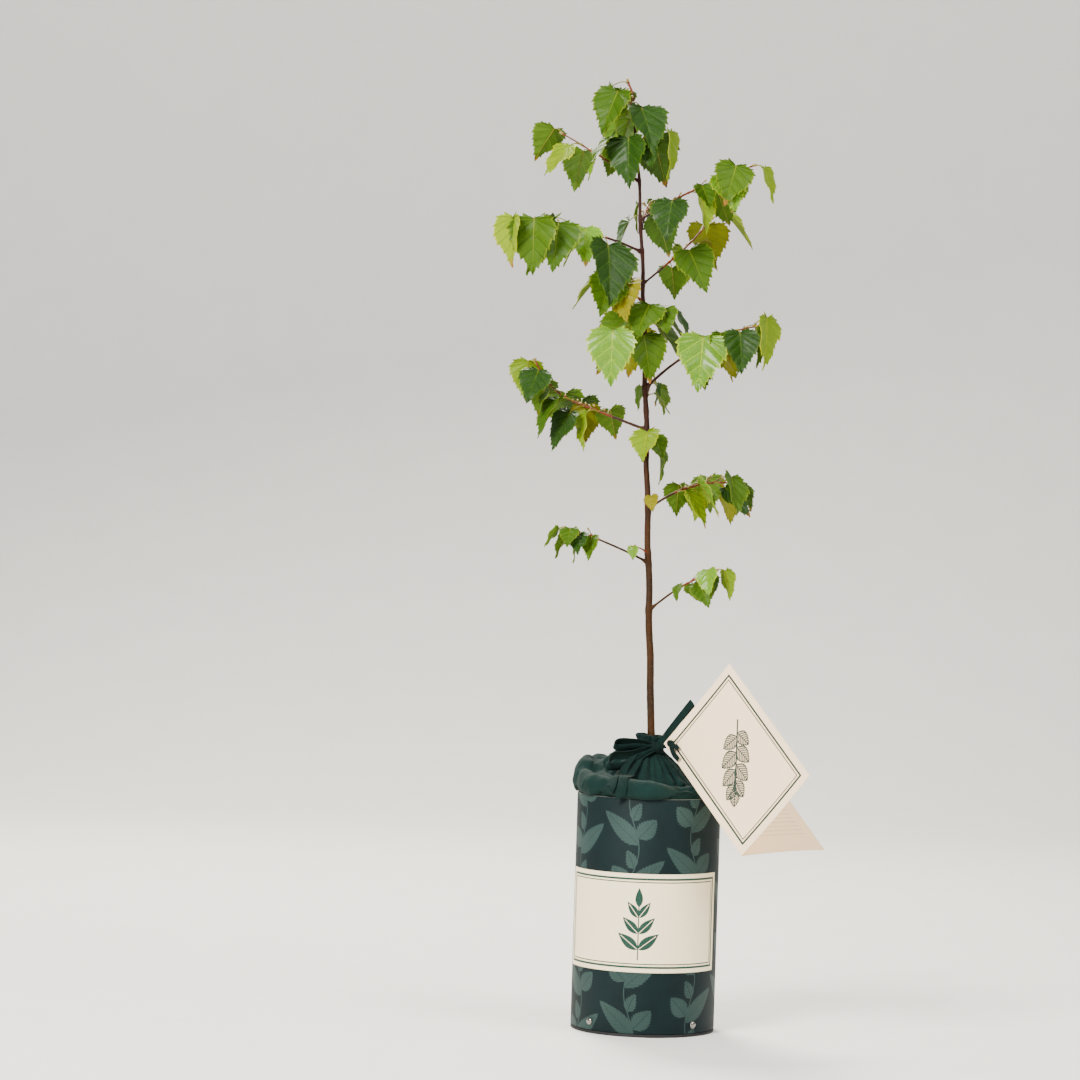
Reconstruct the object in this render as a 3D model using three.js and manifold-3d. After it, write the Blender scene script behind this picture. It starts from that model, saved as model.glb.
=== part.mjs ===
// A young silver birch in a printed tube pot, with a drawstring bag round its root ball,
// a tied ribbon and a folded gift card. Millimetres, +Z up, the front towards -Y, and the
// origin in the middle of the pot's flat underside.
import * as THREE from "three";
import { mergeVertices } from "three/addons/utils/BufferGeometryUtils.js";
import Module from "manifold-3d";

const wasm = await Module();
wasm.setup();

// Clearance between pieces that touch on the real thing.
const GAP = 0.3;

// Pot: a cardboard tube on a black base plug, with a paper label and four dome rivets.
const POT_RADIUS = 55;
const POT_WALL = 2.6;
const POT_HEIGHT = 180;
const BASE_FLANGE = 2.2;
const BASE_PLUG = 5;
const POT_SIDES = 40;
const LABEL_LOW = 49;
const LABEL_HIGH = 123.5;
const LABEL_HALF_ANGLE = 74;
const LABEL_MIDDLE = -97;
const LABEL_THICKNESS = 0.3;
const LABEL_STEPS = 14;
const RIVET_RADIUS = 3.3;
const RIVET_RISE = 1.7;
const RIVET_HEIGHT = 9;
const RIVET_FIRST = -48;

// Root ball and the bag round it.
const BALL_RADIUS = 49;
const BALL_TOP = 186;
const BAG_WALL = 1.6;
const NECK_RADIUS = 7.6;
const NECK_LOW = 213;
const NECK_HIGH = 220;
const BAG_TOP = 226;
const ROLL_HIGH_SIDE = 170;
const ROLL_VARIES = 0.3;
const FOLD_TURN = 150;
const FOLD_WIDTH = 45;
const FOLD_RISE = [[9.5, 0], [15, 4.5], [26, 11], [40, 15], [52, 13], [57.6, 8], [58.5, 2]];
const BAG_SIDES = 28;
const STEM_ROOM = 0.9;

// Trunk, from the soil to its tip.
const TRUNK_FOOT = BALL_TOP + GAP;
const TRUNK_TIP = 716;
const LEAN_START = 225;
const LEAN_END = 720;
const LEAN_REACH = 23.5;
const TIP_LEAN = 6.9;
const WAVER = 3;
const WAVER_TURN = 2.6;
const TRUNK_GIRTH = 5.8;
const TRUNK_TAPER = 4.3;
const FLARE = 2.4;
const FOOT_TAPER = 0.4;
const TRUNK_SIDES = 8;
const TRUNK_STEPS = 24;

// Leaf: a toothed triangle with a drawn-out tip, folded a little along its midrib. The edge
// holds the points of one half as shares of the length, from the stalk to the tip.
const BLADE_EDGE = [[-0.04, 0.19], [0.06, 0.37], [0.28, 0.43], [0.54, 0.31], [0.8, 0.12]];
const BLADE_RIB = [0.3, 0.62];
const BLADE_FOLD = 0.24;
const BLADE_CURL = 0.13;
const BLADE_THICKNESS = 0.022;
const STALK_SHARE = 0.38;
const STALK_OUT = 0.85;
const STALK_RADIUS = 0.45;
const STALK_BOW = 0.12;
const STALK_SINK = 0.16;
const TWIG_TIP_RADIUS = 0.55;

// How leaves are dealt out: spread from the twig's line, hang below level, and how each varies.
const LAST_SHARE = 0.985;
const FIRST_STEP = 0.04;
const STEP_MIDDLE = 0.6;
const STEP_VARIES = 0.3;
const SPREAD = 68;
const SPREAD_VARIES = 36;
const HANG = 66;
const HANG_VARIES = 24;
const STALK_RISE = 0.05;
const STALK_RISE_VARIES = 0.45;
const TURN_VARIES = 34;
const SIZE_VARIES = 0.34;
const TRIES = 12;
const LEAF_CLEAR = 5.6;
const LIMB_CLEAR = 4.6;
const LIMB_STEP = 4;
const BLADE_MARKS = [
  [0.08, 0], [0.36, 0], [0.66, 0], [0.96, 0],
  [0.16, 0.3], [0.16, -0.3], [0.42, 0.26], [0.42, -0.26],
];

// Shoots up the trunk: name, height where it leaves the trunk, azimuth, reach, rise, arch in
// the middle, upturn at the end, share that is bare, diameter, leaves, leaf length, seed.
const SHOOTS = [
  ["low_right", 321, -25, 54, 32, 3, 0, 0.42, 1.9, 6, 18, 8],
  ["low_left", 357, 200, 69, 25, 2, 0, 0.56, 2.0, 7, 23, 14],
  ["small_left", 364, 224, 14, 5, 1, 0, 0, 1.2, 1, 15, 17],
  ["small_right", 402, -75, 7, 4, 1, 0, 0, 1.2, 1, 15, 300],
  ["right", 398, 18, 68, 22, 7, 0, 0.3, 2.2, 10, 25, 90],
  ["front_spur", 440, -84, 17, 12, 3, 0, 0, 1.6, 5, 25, 161],
  ["left", 459, 157, 94, 31, 0, 20, 0.3, 2.4, 11, 29, 42],
  ["back_low", 474, 84, 40, 22, 4, 0, 0.3, 1.9, 4, 26, 242],
  ["right_mid", 491, -24, 88, 48, 8, 0, 0.3, 2.4, 10, 34, 21],
  ["front_left_twig", 518, 232, 30, 8, 3, 0, 0.3, 1.6, 4, 33, 115],
  ["back_spur", 530, 100, 24, 10, 3, 0, 0, 1.6, 4, 33, 279],
  ["right_spur", 540, -42, 22, 8, 3, 0, 0, 1.6, 4, 29, 96],
  ["left_spur", 556, 208, 38, 10, 6, 0, 0, 1.7, 6, 29, 374],
  ["right_high", 571, 34, 63, 53, -3, 0, 0.28, 1.9, 6, 31, 172],
  ["left_high", 595, 204, 98, 16, 5, 0, 0.28, 2.2, 8, 38, 150],
  ["back_high", 612, 80, 44, 24, 4, 0, 0.25, 1.7, 5, 29, 365],
  ["right_top", 620, -20, 89, 41, 3, 0, 0.28, 1.9, 8, 30, 259],
  ["left_top", 649, 164, 62, 36, 1, 0, 0.34, 1.7, 4, 32, 20],
  ["crown_left", 668, 195, 14, 8, 2, 0, 0, 1.3, 3, 32, 149],
  ["crown_right", 677, -30, 14, 8, 2, 0, 0, 1.2, 3, 32, 384],
  ["crown_back", 689, 88, 13, 9, 2, 0, 0, 1.2, 3, 36, 72],
  ["crown_front", 700, 250, 11, 9, 2, 0, 0, 1.1, 3, 33, 399],
  ["crown_tip", 716, 150, 4, 9, 0, 0, 0, 1.2, 3, 36, 215],
];
const SPUR_START = 0.42;
const BOUGH_SIDES = 5;
const BOUGH_STEPS = 4;
const TWIG_SIDES = 4;
const TWIG_STEP = 11;

// Ribbon: a flat tape round the bag's neck, tied in a bow, that also holds the card.
const TAPE_WIDTH = 6;
const TAPE_THICKNESS = 0.7;
const TAPE_LIFT = 2;
const TAPE_STEPS = 7;
const KNOT = new THREE.Vector3(3, -11.5, 216);

// Gift card: two leaves hinged on a spine, hung by a hole near the corner at the neck.
const CARD_CORNER = new THREE.Vector3(9.4, -18, 220);
const CARD_LENGTH = 118;
const CARD_WIDTH = 86;
const CARD_THICKNESS = 0.6;
const SPINE_AZIMUTH = -48.8;
const SPINE_DIP = 41.3;
const FRONT_LEAF_TURN = 81.7;
const BACK_LEAF_TURN = 1.4;
const HOLE_INSET = 6;
const HOLE_RADIUS = 2.2;

const UP = new THREE.Vector3(0, 0, 1);
const RIGHT = new THREE.Vector3(1, 0, 0);
const radians = THREE.MathUtils.degToRad;

function material(colour, roughness, metalness = 0) {
  return new THREE.MeshStandardMaterial({ color: colour, roughness, metalness });
}
const BARK = material(0x5a2c1c, 0.6);
const LEAF = material(0x6f9a2c, 0.45);
const CARD_BOARD = material(0x173f38, 0.6);
const BLACK_BOARD = material(0x151617, 0.6);
const PAPER = material(0xeee6cf, 0.8);
const STEEL = material(0xb9bcc0, 0.3, 1);
const COMPOST = material(0x33251b, 0.95);
const COTTON = material(0x12372f, 0.9);
const TAPE = material(0x10302a, 0.7);

// Solids: a closed geometry is joined to others or cut by them.
const MERGE = 1e-3;

function solidOf(geometry) {
  const loose = geometry.index ? geometry.toNonIndexed() : geometry.clone();
  loose.deleteAttribute("normal");
  loose.deleteAttribute("uv");
  const merged = mergeVertices(loose, MERGE);
  return new wasm.Manifold(
    new wasm.Mesh({
      numProp: 3,
      vertProperties: merged.attributes.position.array,
      triVerts: new Uint32Array(merged.index.array),
    }),
  );
}

function geometryOf(solid) {
  const mesh = solid.getMesh();
  const geometry = new THREE.BufferGeometry();
  geometry.setAttribute("position", new THREE.BufferAttribute(new Float32Array(mesh.vertProperties), 3));
  geometry.setIndex(new THREE.BufferAttribute(new Uint32Array(mesh.triVerts), 1));
  geometry.computeVertexNormals();
  return geometry;
}

function joined(geometries) {
  return geometries.map(solidOf).reduce((whole, next) => whole.add(next));
}

// Bends a geometry whose length lies along Y from -0.5 to 0.5. The route gives the middle at
// each share of the length, and size(share) scales what lies across it.
function bend(geometry, route, reference, size = () => 1) {
  const STEP = 1e-3;
  const place = geometry.attributes.position;
  for (let i = 0; i < place.count; i += 1) {
    const share = place.getY(i) + 0.5;
    const before = route(share - STEP);
    const along = route(share + STEP).sub(before).normalize();
    const across = new THREE.Vector3().crossVectors(along, reference).normalize();
    const third = new THREE.Vector3().crossVectors(across, along);
    const moved = route(share);
    moved.addScaledVector(across, place.getX(i) * size(share));
    moved.addScaledVector(third, place.getZ(i) * size(share));
    place.setXYZ(i, moved.x, moved.y, moved.z);
  }
  return geometry;
}

function limb(route, radius, sides, steps, reference) {
  return bend(new THREE.CylinderGeometry(1, 1, 1, sides, steps), route, reference, radius);
}

function curveThrough(points) {
  const curve = new THREE.CatmullRomCurve3(points, false, "centripetal");
  const start = curve.getPoint(0);
  const end = curve.getPoint(1);
  const leave = curve.getTangent(0);
  const arrive = curve.getTangent(1);
  const length = curve.getLength();
  return (share) => {
    if (share < 0) return start.clone().addScaledVector(leave, share * length);
    if (share > 1) return end.clone().addScaledVector(arrive, (share - 1) * length);
    return curve.getPoint(share);
  };
}

// Seeded dice: the same seed gives the same numbers between 0 and 1.
function dice(seed) {
  const MULTIPLIER = 48271;
  const MODULUS = 2147483647;
  const SPREAD_SEEDS = 7919;
  let state = (seed * SPREAD_SEEDS) % MODULUS;
  return () => {
    state = (state * MULTIPLIER) % MODULUS;
    return state / MODULUS;
  };
}

// Trunk: its middle leans to the left, more towards the tip, and its foot flares on the soil.
function trunkAt(height) {
  const share = Math.max(0, (height - LEAN_START) / (LEAN_END - LEAN_START));
  const x = -LEAN_REACH * share - TIP_LEAN * share ** 6;
  const y = WAVER * Math.sin(WAVER_TURN * share);
  return new THREE.Vector3(x, y, height);
}

function trunkRadius(height) {
  const share = Math.max(0, (height - LEAN_START) / (LEAN_END - LEAN_START));
  const foot = Math.max(0, (LEAN_START - height) / (LEAN_START - TRUNK_FOOT));
  return (TRUNK_GIRTH - TRUNK_TAPER * share ** 1.25) / 2 + FLARE * foot ** 3 + FOOT_TAPER * foot;
}

function trunkGeometry(extra = 0) {
  const span = TRUNK_TIP - TRUNK_FOOT;
  const route = (share) => trunkAt(TRUNK_FOOT + share * span);
  const size = (share) => trunkRadius(TRUNK_FOOT + share * span) + extra;
  return limb(route, size, TRUNK_SIDES, TRUNK_STEPS, RIGHT);
}

// Shoots: each leaves the middle of the trunk and arches out to its tip.
function shootFrom(row) {
  const [name, height, azimuth, reach, rise, arch, hook, bare, girth, leaves, leaf, seed] = row;
  const from = trunkAt(height);
  const turn = radians(azimuth);
  const ahead = new THREE.Vector3(Math.cos(turn), Math.sin(turn), 0);
  const at = (share) => {
    const lift = rise * share + arch * 4 * share * (1 - share) + hook * share ** 8;
    return from.clone().addScaledVector(ahead, reach * share).addScaledVector(UP, lift);
  };
  const thin = Math.min(TWIG_TIP_RADIUS, girth / 2);
  const radius = (share) => girth / 2 + (thin - girth / 2) * Math.min(1, Math.max(0, share));
  return { name, at, radius, ahead, reach, rise, bare, leaves, leaf, seed };
}

// A leaf's own axes: x from stalk to tip, y across, z out of its upper face.
function leafAxes(heading, hang, roll) {
  const along = heading.clone().multiplyScalar(Math.cos(hang)).addScaledVector(UP, -Math.sin(hang));
  const face = heading.clone().multiplyScalar(Math.sin(hang)).addScaledVector(UP, Math.cos(hang));
  face.applyAxisAngle(along, roll);
  return { along, face, across: new THREE.Vector3().crossVectors(face, along) };
}

function onBlade(leaf, share, aside) {
  const height = BLADE_FOLD * Math.abs(aside) - BLADE_CURL * share * share;
  return leaf.foot
    .clone()
    .addScaledVector(leaf.along, share * leaf.length)
    .addScaledVector(leaf.across, aside * leaf.length)
    .addScaledVector(leaf.face, height * leaf.length);
}

function isClear(marks, taken, distance) {
  return marks.every((mark) => taken.every((other) => mark.distanceTo(other) > distance));
}

// Deals a shoot's leaves out on alternate sides, from its bare stretch to its tip. A leaf
// that would touch a limb or another leaf is drawn again, and left out if no draw fits.
function dealLeaves(shoot, limbMarks, leafMarks) {
  const roll = dice(shoot.seed);
  const varied = (middle, amount) => middle + amount * (2 * roll() - 1);
  const first = shoot.bare > 0 ? shoot.bare : SPUR_START;
  const side = roll() < 0.5 ? 1 : -1;
  const dealt = [];
  for (let i = 0; i < shoot.leaves; i += 1) {
    const last = i === shoot.leaves - 1;
    for (let attempt = 0; attempt < TRIES; attempt += 1) {
      const step = (1 - first) / shoot.leaves;
      const middle = first + step * (i + STEP_MIDDLE);
      const share = last ? LAST_SHARE : Math.max(first + FIRST_STEP, varied(middle, STEP_VARIES * step));
      const spread = last ? varied(0, SPREAD_VARIES) : varied(SPREAD, SPREAD_VARIES);
      const heading = shoot.ahead.clone().applyAxisAngle(UP, radians(spread) * (i % 2 ? side : -side));
      const hang = radians(varied(HANG, HANG_VARIES));
      const turn = radians(varied(0, TURN_VARIES));
      const length = shoot.leaf * varied(1, SIZE_VARIES);
      const stalk = length * STALK_SHARE;
      const up = varied(STALK_RISE, STALK_RISE_VARIES) * stalk;
      const root = shoot.at(share);
      const foot = root.clone().addScaledVector(heading, STALK_OUT * stalk).addScaledVector(UP, up);
      const leaf = { root, foot, heading, length, ...leafAxes(heading, hang, turn) };
      const marks = BLADE_MARKS.map(([along, aside]) => onBlade(leaf, along, aside));
      if (isClear(marks, limbMarks, LIMB_CLEAR) && isClear(marks, leafMarks, LEAF_CLEAR)) {
        leafMarks.push(...marks);
        dealt.push(leaf);
        break;
      }
    }
  }
  return dealt;
}

function bladeGeometry(leaf) {
  const edge = BLADE_EDGE.length;
  const left = BLADE_EDGE.map(([share, aside]) => onBlade(leaf, share, aside));
  const right = BLADE_EDGE.map(([share, aside]) => onBlade(leaf, share, -aside));
  const half = (BLADE_THICKNESS * leaf.length) / 2;
  const rib = (way) =>
    BLADE_RIB.map((share) => onBlade(leaf, share, 0).addScaledVector(leaf.face, way * half));
  const points = [onBlade(leaf, 0, 0), onBlade(leaf, 1, 0), ...left, ...right, ...rib(1), ...rib(-1)];
  const faces = [];
  for (const [start, mirrored] of [[2, false], [2 + edge, true]]) {
    for (const [ribStart, under] of [[2 + 2 * edge, false], [4 + 2 * edge, true]]) {
      const [low, high] = [ribStart, ribStart + 1];
      const turnAt = 2;
      const strip = [[0, low, start]];
      for (let i = 1; i < edge; i += 1) strip.push([start + i - 1, i <= turnAt ? low : high, start + i]);
      strip.push([start + turnAt, low, high]);
      strip.push([start + edge - 1, high, 1]);
      faces.push(...strip.map(([a, b, c]) => (mirrored !== under ? [a, c, b] : [a, b, c])));
    }
  }
  const geometry = new THREE.BufferGeometry().setFromPoints(points);
  geometry.setIndex(faces.flat());
  return geometry;
}

function stalkGeometry(leaf) {
  const sunk = onBlade(leaf, STALK_SINK, 0);
  const bow = leaf.root.clone().lerp(leaf.foot, 0.5);
  bow.addScaledVector(UP, STALK_BOW * leaf.length * STALK_SHARE);
  const route = curveThrough([leaf.root, bow, leaf.foot, sunk]);
  return limb(route, () => STALK_RADIUS, 3, 1, UP);
}

const group = new THREE.Group();

function add(name, geometry, finish) {
  const mesh = new THREE.Mesh(geometry, finish);
  mesh.name = name;
  group.add(mesh);
  return mesh;
}

// Tree: the trunk, then each shoot's bare bough and the leafy mass at its end.
const trunk = trunkGeometry();
add("trunk", trunk, BARK);
const trunkWithRoom = solidOf(trunkGeometry(GAP));

const shoots = SHOOTS.map(shootFrom);
const limbMarks = [];
for (let height = BAG_TOP; height < TRUNK_TIP; height += LIMB_STEP) limbMarks.push(trunkAt(height));
for (const shoot of shoots) {
  const marks = Math.ceil(shoot.reach / LIMB_STEP);
  for (let i = 1; i < marks; i += 1) limbMarks.push(shoot.at(i / marks));
}
const leafMarks = [];
const TIP_SHOOT = shoots[shoots.length - 1];

for (const shoot of shoots) {
  const leaves = dealLeaves(shoot, limbMarks, leafMarks);
  const length = Math.hypot(shoot.reach, shoot.rise);
  const parting = shoot.bare > 0 ? shoot.bare + GAP / length : 0;
  const stretch = (from, to) => (share) => from + (to - from) * share;
  if (shoot.bare > 0) {
    const along = stretch(0, shoot.bare);
    const middle = (s) => shoot.at(along(s));
    const bough = limb(middle, (s) => shoot.radius(along(s)), BOUGH_SIDES, BOUGH_STEPS, UP);
    add(`bough_${shoot.name}`, geometryOf(solidOf(bough).subtract(trunkWithRoom)), BARK);
  }
  const start = shoot === TIP_SHOOT ? GAP / length : parting;
  const along = stretch(start, 1);
  const reference = shoot.rise > 2 * shoot.reach ? RIGHT : UP;
  const steps = Math.max(2, Math.round((length * (1 - start)) / TWIG_STEP));
  const twig = limb((s) => shoot.at(along(s)), (s) => shoot.radius(along(s)), TWIG_SIDES, steps, reference);
  const mass = joined([twig, ...leaves.flatMap((leaf) => [bladeGeometry(leaf), stalkGeometry(leaf)])]);
  add(`leaves_${shoot.name}`, geometryOf(shoot.bare > 0 ? mass : mass.subtract(trunkWithRoom)), LEAF);
}

// Rounds: a profile of radius and height turned about the upright axis.
function turned(profile, sides) {
  const points = profile.map(([radius, height]) => new THREE.Vector2(radius, height));
  return new THREE.LatheGeometry(points, sides).rotateX(Math.PI / 2);
}

// Pot base: a black plug inside the tube, with a flange that the tube stands on.
const tubeInside = POT_RADIUS - POT_WALL;
add("pot_base", turned([
  [0, 0], [POT_RADIUS, 0], [POT_RADIUS, BASE_FLANGE], [tubeInside - GAP, BASE_FLANGE],
  [tubeInside - GAP, BASE_PLUG], [0, BASE_PLUG],
], POT_SIDES), BLACK_BOARD);

// Pot tube: a plain wall, open at both ends.
add("pot_tube", turned([
  [tubeInside, BASE_FLANGE + GAP], [POT_RADIUS, BASE_FLANGE + GAP], [POT_RADIUS, POT_HEIGHT],
  [tubeInside, POT_HEIGHT], [tubeInside, BASE_FLANGE + GAP],
], POT_SIDES), CARD_BOARD);

// Label: a curved sheet on the front of the tube.
function labelGeometry() {
  const inside = POT_RADIUS + GAP;
  const outside = inside + LABEL_THICKNESS;
  const from = radians(LABEL_MIDDLE - LABEL_HALF_ANGLE);
  const to = radians(LABEL_MIDDLE + LABEL_HALF_ANGLE);
  const sheet = new THREE.Shape();
  sheet.absarc(0, 0, outside, from, to, false);
  sheet.absarc(0, 0, inside, to, from, true);
  sheet.closePath();
  const settings = { depth: LABEL_HIGH - LABEL_LOW, bevelEnabled: false, curveSegments: LABEL_STEPS };
  return new THREE.ExtrudeGeometry(sheet, settings).translate(0, 0, LABEL_LOW);
}
add("pot_label", labelGeometry(), PAPER);

// Rivets: low domes round the foot of the tube.
for (let i = 0; i < 4; i += 1) {
  const dome = [[0, 0], [RIVET_RADIUS, 0]];
  for (const share of [0.3, 0.65]) {
    dome.push([RIVET_RADIUS * Math.cos(share * Math.PI / 2), RIVET_RISE * Math.sin(share * Math.PI / 2)]);
  }
  dome.push([0, RIVET_RISE]);
  const rivet = add(`rivet_${i + 1}`, turned(dome, 8), STEEL);
  const turn = radians(RIVET_FIRST + 90 * i);
  rivet.position.set(Math.cos(turn), Math.sin(turn), 0).multiplyScalar(POT_RADIUS + GAP);
  rivet.position.z = RIVET_HEIGHT;
  rivet.quaternion.setFromUnitVectors(UP, new THREE.Vector3(Math.cos(turn), Math.sin(turn), 0));
}

// Root ball: a filled cylinder of compost with a flat top, which the trunk stands on.
const ballFoot = BASE_PLUG + 2 * GAP + 1;
add("root_ball", turned([
  [0, ballFoot], [BALL_RADIUS, ballFoot], [BALL_RADIUS, BALL_TOP], [0, BALL_TOP],
], BAG_SIDES), COMPOST);

// Bag: a liner round the root ball that rolls over the rim and is drawn in to a neck.
const BAG_SLOPE = [
  [POT_RADIUS + 2, POT_HEIGHT + GAP], [POT_RADIUS + 3.2, POT_HEIGHT + 3], [POT_RADIUS + 2.6, POT_HEIGHT + 7],
  [POT_RADIUS - 3, POT_HEIGHT + 9.5], [40, 192], [26, 199.5], [15, 207], [9.5, NECK_LOW - 1.5],
];
const linerRadius = BALL_RADIUS + GAP + BAG_WALL;
const bagProfile = [
  [0, BASE_PLUG + GAP], [linerRadius, BASE_PLUG + GAP], [linerRadius, POT_HEIGHT + GAP],
  ...BAG_SLOPE,
  [NECK_RADIUS, NECK_LOW], [NECK_RADIUS, NECK_HIGH], [NECK_RADIUS + 3, BAG_TOP - 2], [NECK_RADIUS, BAG_TOP],
  [trunkRadius(BAG_TOP) + STEM_ROOM, BAG_TOP - 1], [trunkRadius(NECK_LOW) + STEM_ROOM, NECK_LOW],
  [trunkRadius(200) + STEM_ROOM, 200], [trunkRadius(BALL_TOP + 1) + STEM_ROOM, BALL_TOP + GAP],
  [BALL_RADIUS + GAP, BALL_TOP + GAP], [BALL_RADIUS + GAP, ballFoot - GAP], [0, ballFoot - GAP],
];
// The value at x on the line through pairs of numbers, where x lies between the first and last.
function between(pairs, x) {
  for (let i = 1; i < pairs.length; i += 1) {
    const [low, high] = [pairs[i - 1], pairs[i]];
    const slope = (high[1] - low[1]) / (high[0] - low[0]);
    if (x >= low[0] && x <= high[0]) return low[1] + slope * (x - low[0]);
  }
  return 0;
}

// The roll stands higher on the left than on the right, where the card leans, and a full
// fold of cloth stands up behind it, on the left.
function settled(radius, height, azimuth) {
  const overBall = radius > BALL_RADIUS + 1 || height > BALL_TOP + 1;
  const onRoll = radius > 12 && height > POT_HEIGHT + 1 && overBall;
  const share = 1 + ROLL_VARIES * Math.cos(azimuth - radians(ROLL_HIGH_SIDE));
  const reach = Math.min(1, (radius - NECK_RADIUS) / (BALL_RADIUS - NECK_RADIUS));
  const fromFold = THREE.MathUtils.radToDeg(azimuth) - FOLD_TURN;
  const away = THREE.MathUtils.euclideanModulo(fromFold + 180, 360) - 180;
  const fold = between(FOLD_RISE, radius) * Math.exp(-((away / FOLD_WIDTH) ** 2));
  return onRoll ? height + (height - POT_HEIGHT) * (share - 1) * reach + fold : height;
}

function bagGeometry() {
  const geometry = turned(bagProfile, BAG_SIDES);
  const place = geometry.attributes.position;
  for (let i = 0; i < place.count; i += 1) {
    const [x, y] = [place.getX(i), place.getY(i)];
    place.setZ(i, settled(Math.hypot(x, y), place.getZ(i), Math.atan2(y, x)));
  }
  return geometry;
}
add("bag", bagGeometry(), COTTON);

// A place over the bag's slope, at an azimuth and a distance from the axis.
function overBag(azimuth, radius, lift) {
  const turn = radians(azimuth);
  let height = BAG_SLOPE[0][1];
  for (let i = 2; i < BAG_SLOPE.length - 1; i += 1) {
    const [outer, low] = BAG_SLOPE[i];
    const [inner, high] = BAG_SLOPE[i + 1];
    const slope = (high - low) / (outer - inner);
    if (radius <= outer && radius >= inner) height = low + slope * (outer - radius);
  }
  const [x, y] = [radius * Math.cos(turn), radius * Math.sin(turn)];
  return new THREE.Vector3(x, y, settled(radius, height, turn) + lift);
}

function tape(points, across, width = TAPE_WIDTH) {
  const box = new THREE.BoxGeometry(TAPE_THICKNESS, 1, width, 1, TAPE_STEPS, 1);
  return bend(box, curveThrough(points), across);
}

function knot(middle, size) {
  const ball = new THREE.SphereGeometry(1, 8, 6).scale(size.x, size.y, size.z);
  return ball.translate(middle.x, middle.y, middle.z);
}

function rightOf(azimuth) {
  return new THREE.Vector3(-Math.sin(radians(azimuth)), Math.cos(radians(azimuth)), 0);
}

// Card: its spine runs down and forwards from the neck. The turn of each leaf about the spine
// is counted from level.
const spine = new THREE.Vector3(
  Math.cos(radians(SPINE_DIP)) * Math.cos(radians(SPINE_AZIMUTH)),
  Math.cos(radians(SPINE_DIP)) * Math.sin(radians(SPINE_AZIMUTH)),
  -Math.sin(radians(SPINE_DIP)),
);
const level = new THREE.Vector3().crossVectors(UP, spine).normalize();

function leafEdge(turn) {
  return level.clone().applyAxisAngle(spine, radians(turn));
}

function cardLeaf(turn) {
  const edge = leafEdge(turn);
  const facing = new THREE.Vector3().crossVectors(edge, spine);
  const basis = new THREE.Matrix4().makeBasis(edge, spine, facing).setPosition(CARD_CORNER);
  const plate = new THREE.BoxGeometry(CARD_WIDTH, CARD_LENGTH, CARD_THICKNESS);
  return plate.translate(CARD_WIDTH / 2, CARD_LENGTH / 2, 0).applyMatrix4(basis);
}

const frontEdge = leafEdge(FRONT_LEAF_TURN);
const frontFacing = new THREE.Vector3().crossVectors(spine, frontEdge);
const holeAt = CARD_CORNER.clone().addScaledVector(frontEdge, HOLE_INSET).addScaledVector(spine, HOLE_INSET);

function pin(radius, length) {
  const round = new THREE.CylinderGeometry(radius, radius, length, 10);
  round.applyQuaternion(new THREE.Quaternion().setFromUnitVectors(new THREE.Vector3(0, 1, 0), frontFacing));
  return round.translate(holeAt.x, holeAt.y, holeAt.z);
}

const card = joined([cardLeaf(FRONT_LEAF_TURN), cardLeaf(BACK_LEAF_TURN)]);
add("gift_card", geometryOf(card.subtract(solidOf(pin(HOLE_RADIUS, 6)))), PAPER);

// Ribbon: band, bow knot, two loops, two tails over the bag's roll, and the tie of the card.
const band = turned([
  [NECK_RADIUS + GAP, NECK_LOW + 1], [NECK_RADIUS + 1.6, NECK_LOW + 1], [NECK_RADIUS + 1.6, NECK_HIGH - 1],
  [NECK_RADIUS + GAP, NECK_HIGH - 1], [NECK_RADIUS + GAP, NECK_LOW + 1],
], 20);

function tail(azimuth, drop) {
  const rolled = [15, 28, 42, 53].map((radius) => overBag(azimuth - 4 + radius / 8, radius, TAPE_LIFT));
  const over = POT_RADIUS + 5;
  const crest = 8;
  const end = [crest, (crest - drop) / 2, -drop].map((height) => {
    const turn = radians(azimuth + 4);
    return new THREE.Vector3(over * Math.cos(turn), over * Math.sin(turn), POT_HEIGHT + height);
  });
  return tape([KNOT, ...rolled, ...end], rightOf(azimuth));
}

function loop(azimuth, reach, low, high, tip) {
  const turn = radians(azimuth);
  const out = (distance, height) =>
    KNOT.clone().add(new THREE.Vector3(distance * Math.cos(turn), distance * Math.sin(turn), height));
  const width = rightOf(azimuth);
  return [
    tape([KNOT, out(reach * 0.5, high), out(reach * 0.9, (high + tip) / 2), out(reach, tip)], width),
    tape([KNOT, out(reach * 0.45, low), out(reach * 0.85, tip - 1), out(reach, tip + 0.2)], width),
  ];
}

const behindHole = holeAt.clone().addScaledVector(frontFacing, -2.4);
const beforeHole = holeAt.clone().addScaledVector(frontFacing, 2.6);

function behindCard(along, aside, behind) {
  const place = CARD_CORNER.clone().addScaledVector(frontEdge, along);
  return place.addScaledVector(spine, aside).addScaledVector(frontFacing, -behind);
}

const earTop = behindCard(40, -2.5, 3.5);
const earLow = behindCard(18, -2.5, 3.5);
const ribbonPieces = [
  band,
  knot(KNOT, new THREE.Vector3(5, 4, 4.5)),
  ...loop(208, 40, -11, -3, -14),
  ...loop(188, 30, -1, 6, 1),
  tail(235, -4),
  tail(246, 1),
  tape([KNOT, behindCard(10, -3, 3), earTop], spine),
  tape([behindHole, earLow, earTop], spine),
  pin(1.3, 7),
  knot(beforeHole, new THREE.Vector3(2.6, 2, 2.6)),
];
add("ribbon", geometryOf(joined(ribbonPieces)), TAPE);

export default group;
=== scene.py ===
# %% [markdown]
# # A young silver birch in a printed tube pot
#
# The solid model of this plant is already made and measured. Here it gets its looks: bark,
# toothed and veined leaves, a printed cardboard tube, a cotton bag, a tied tape and a folded
# paper card. Everything stays in the solid model's own frame, in metres, with the front
# towards -Y and the pot's underside at height 0.

# %% Load the solid model
import math

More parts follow.
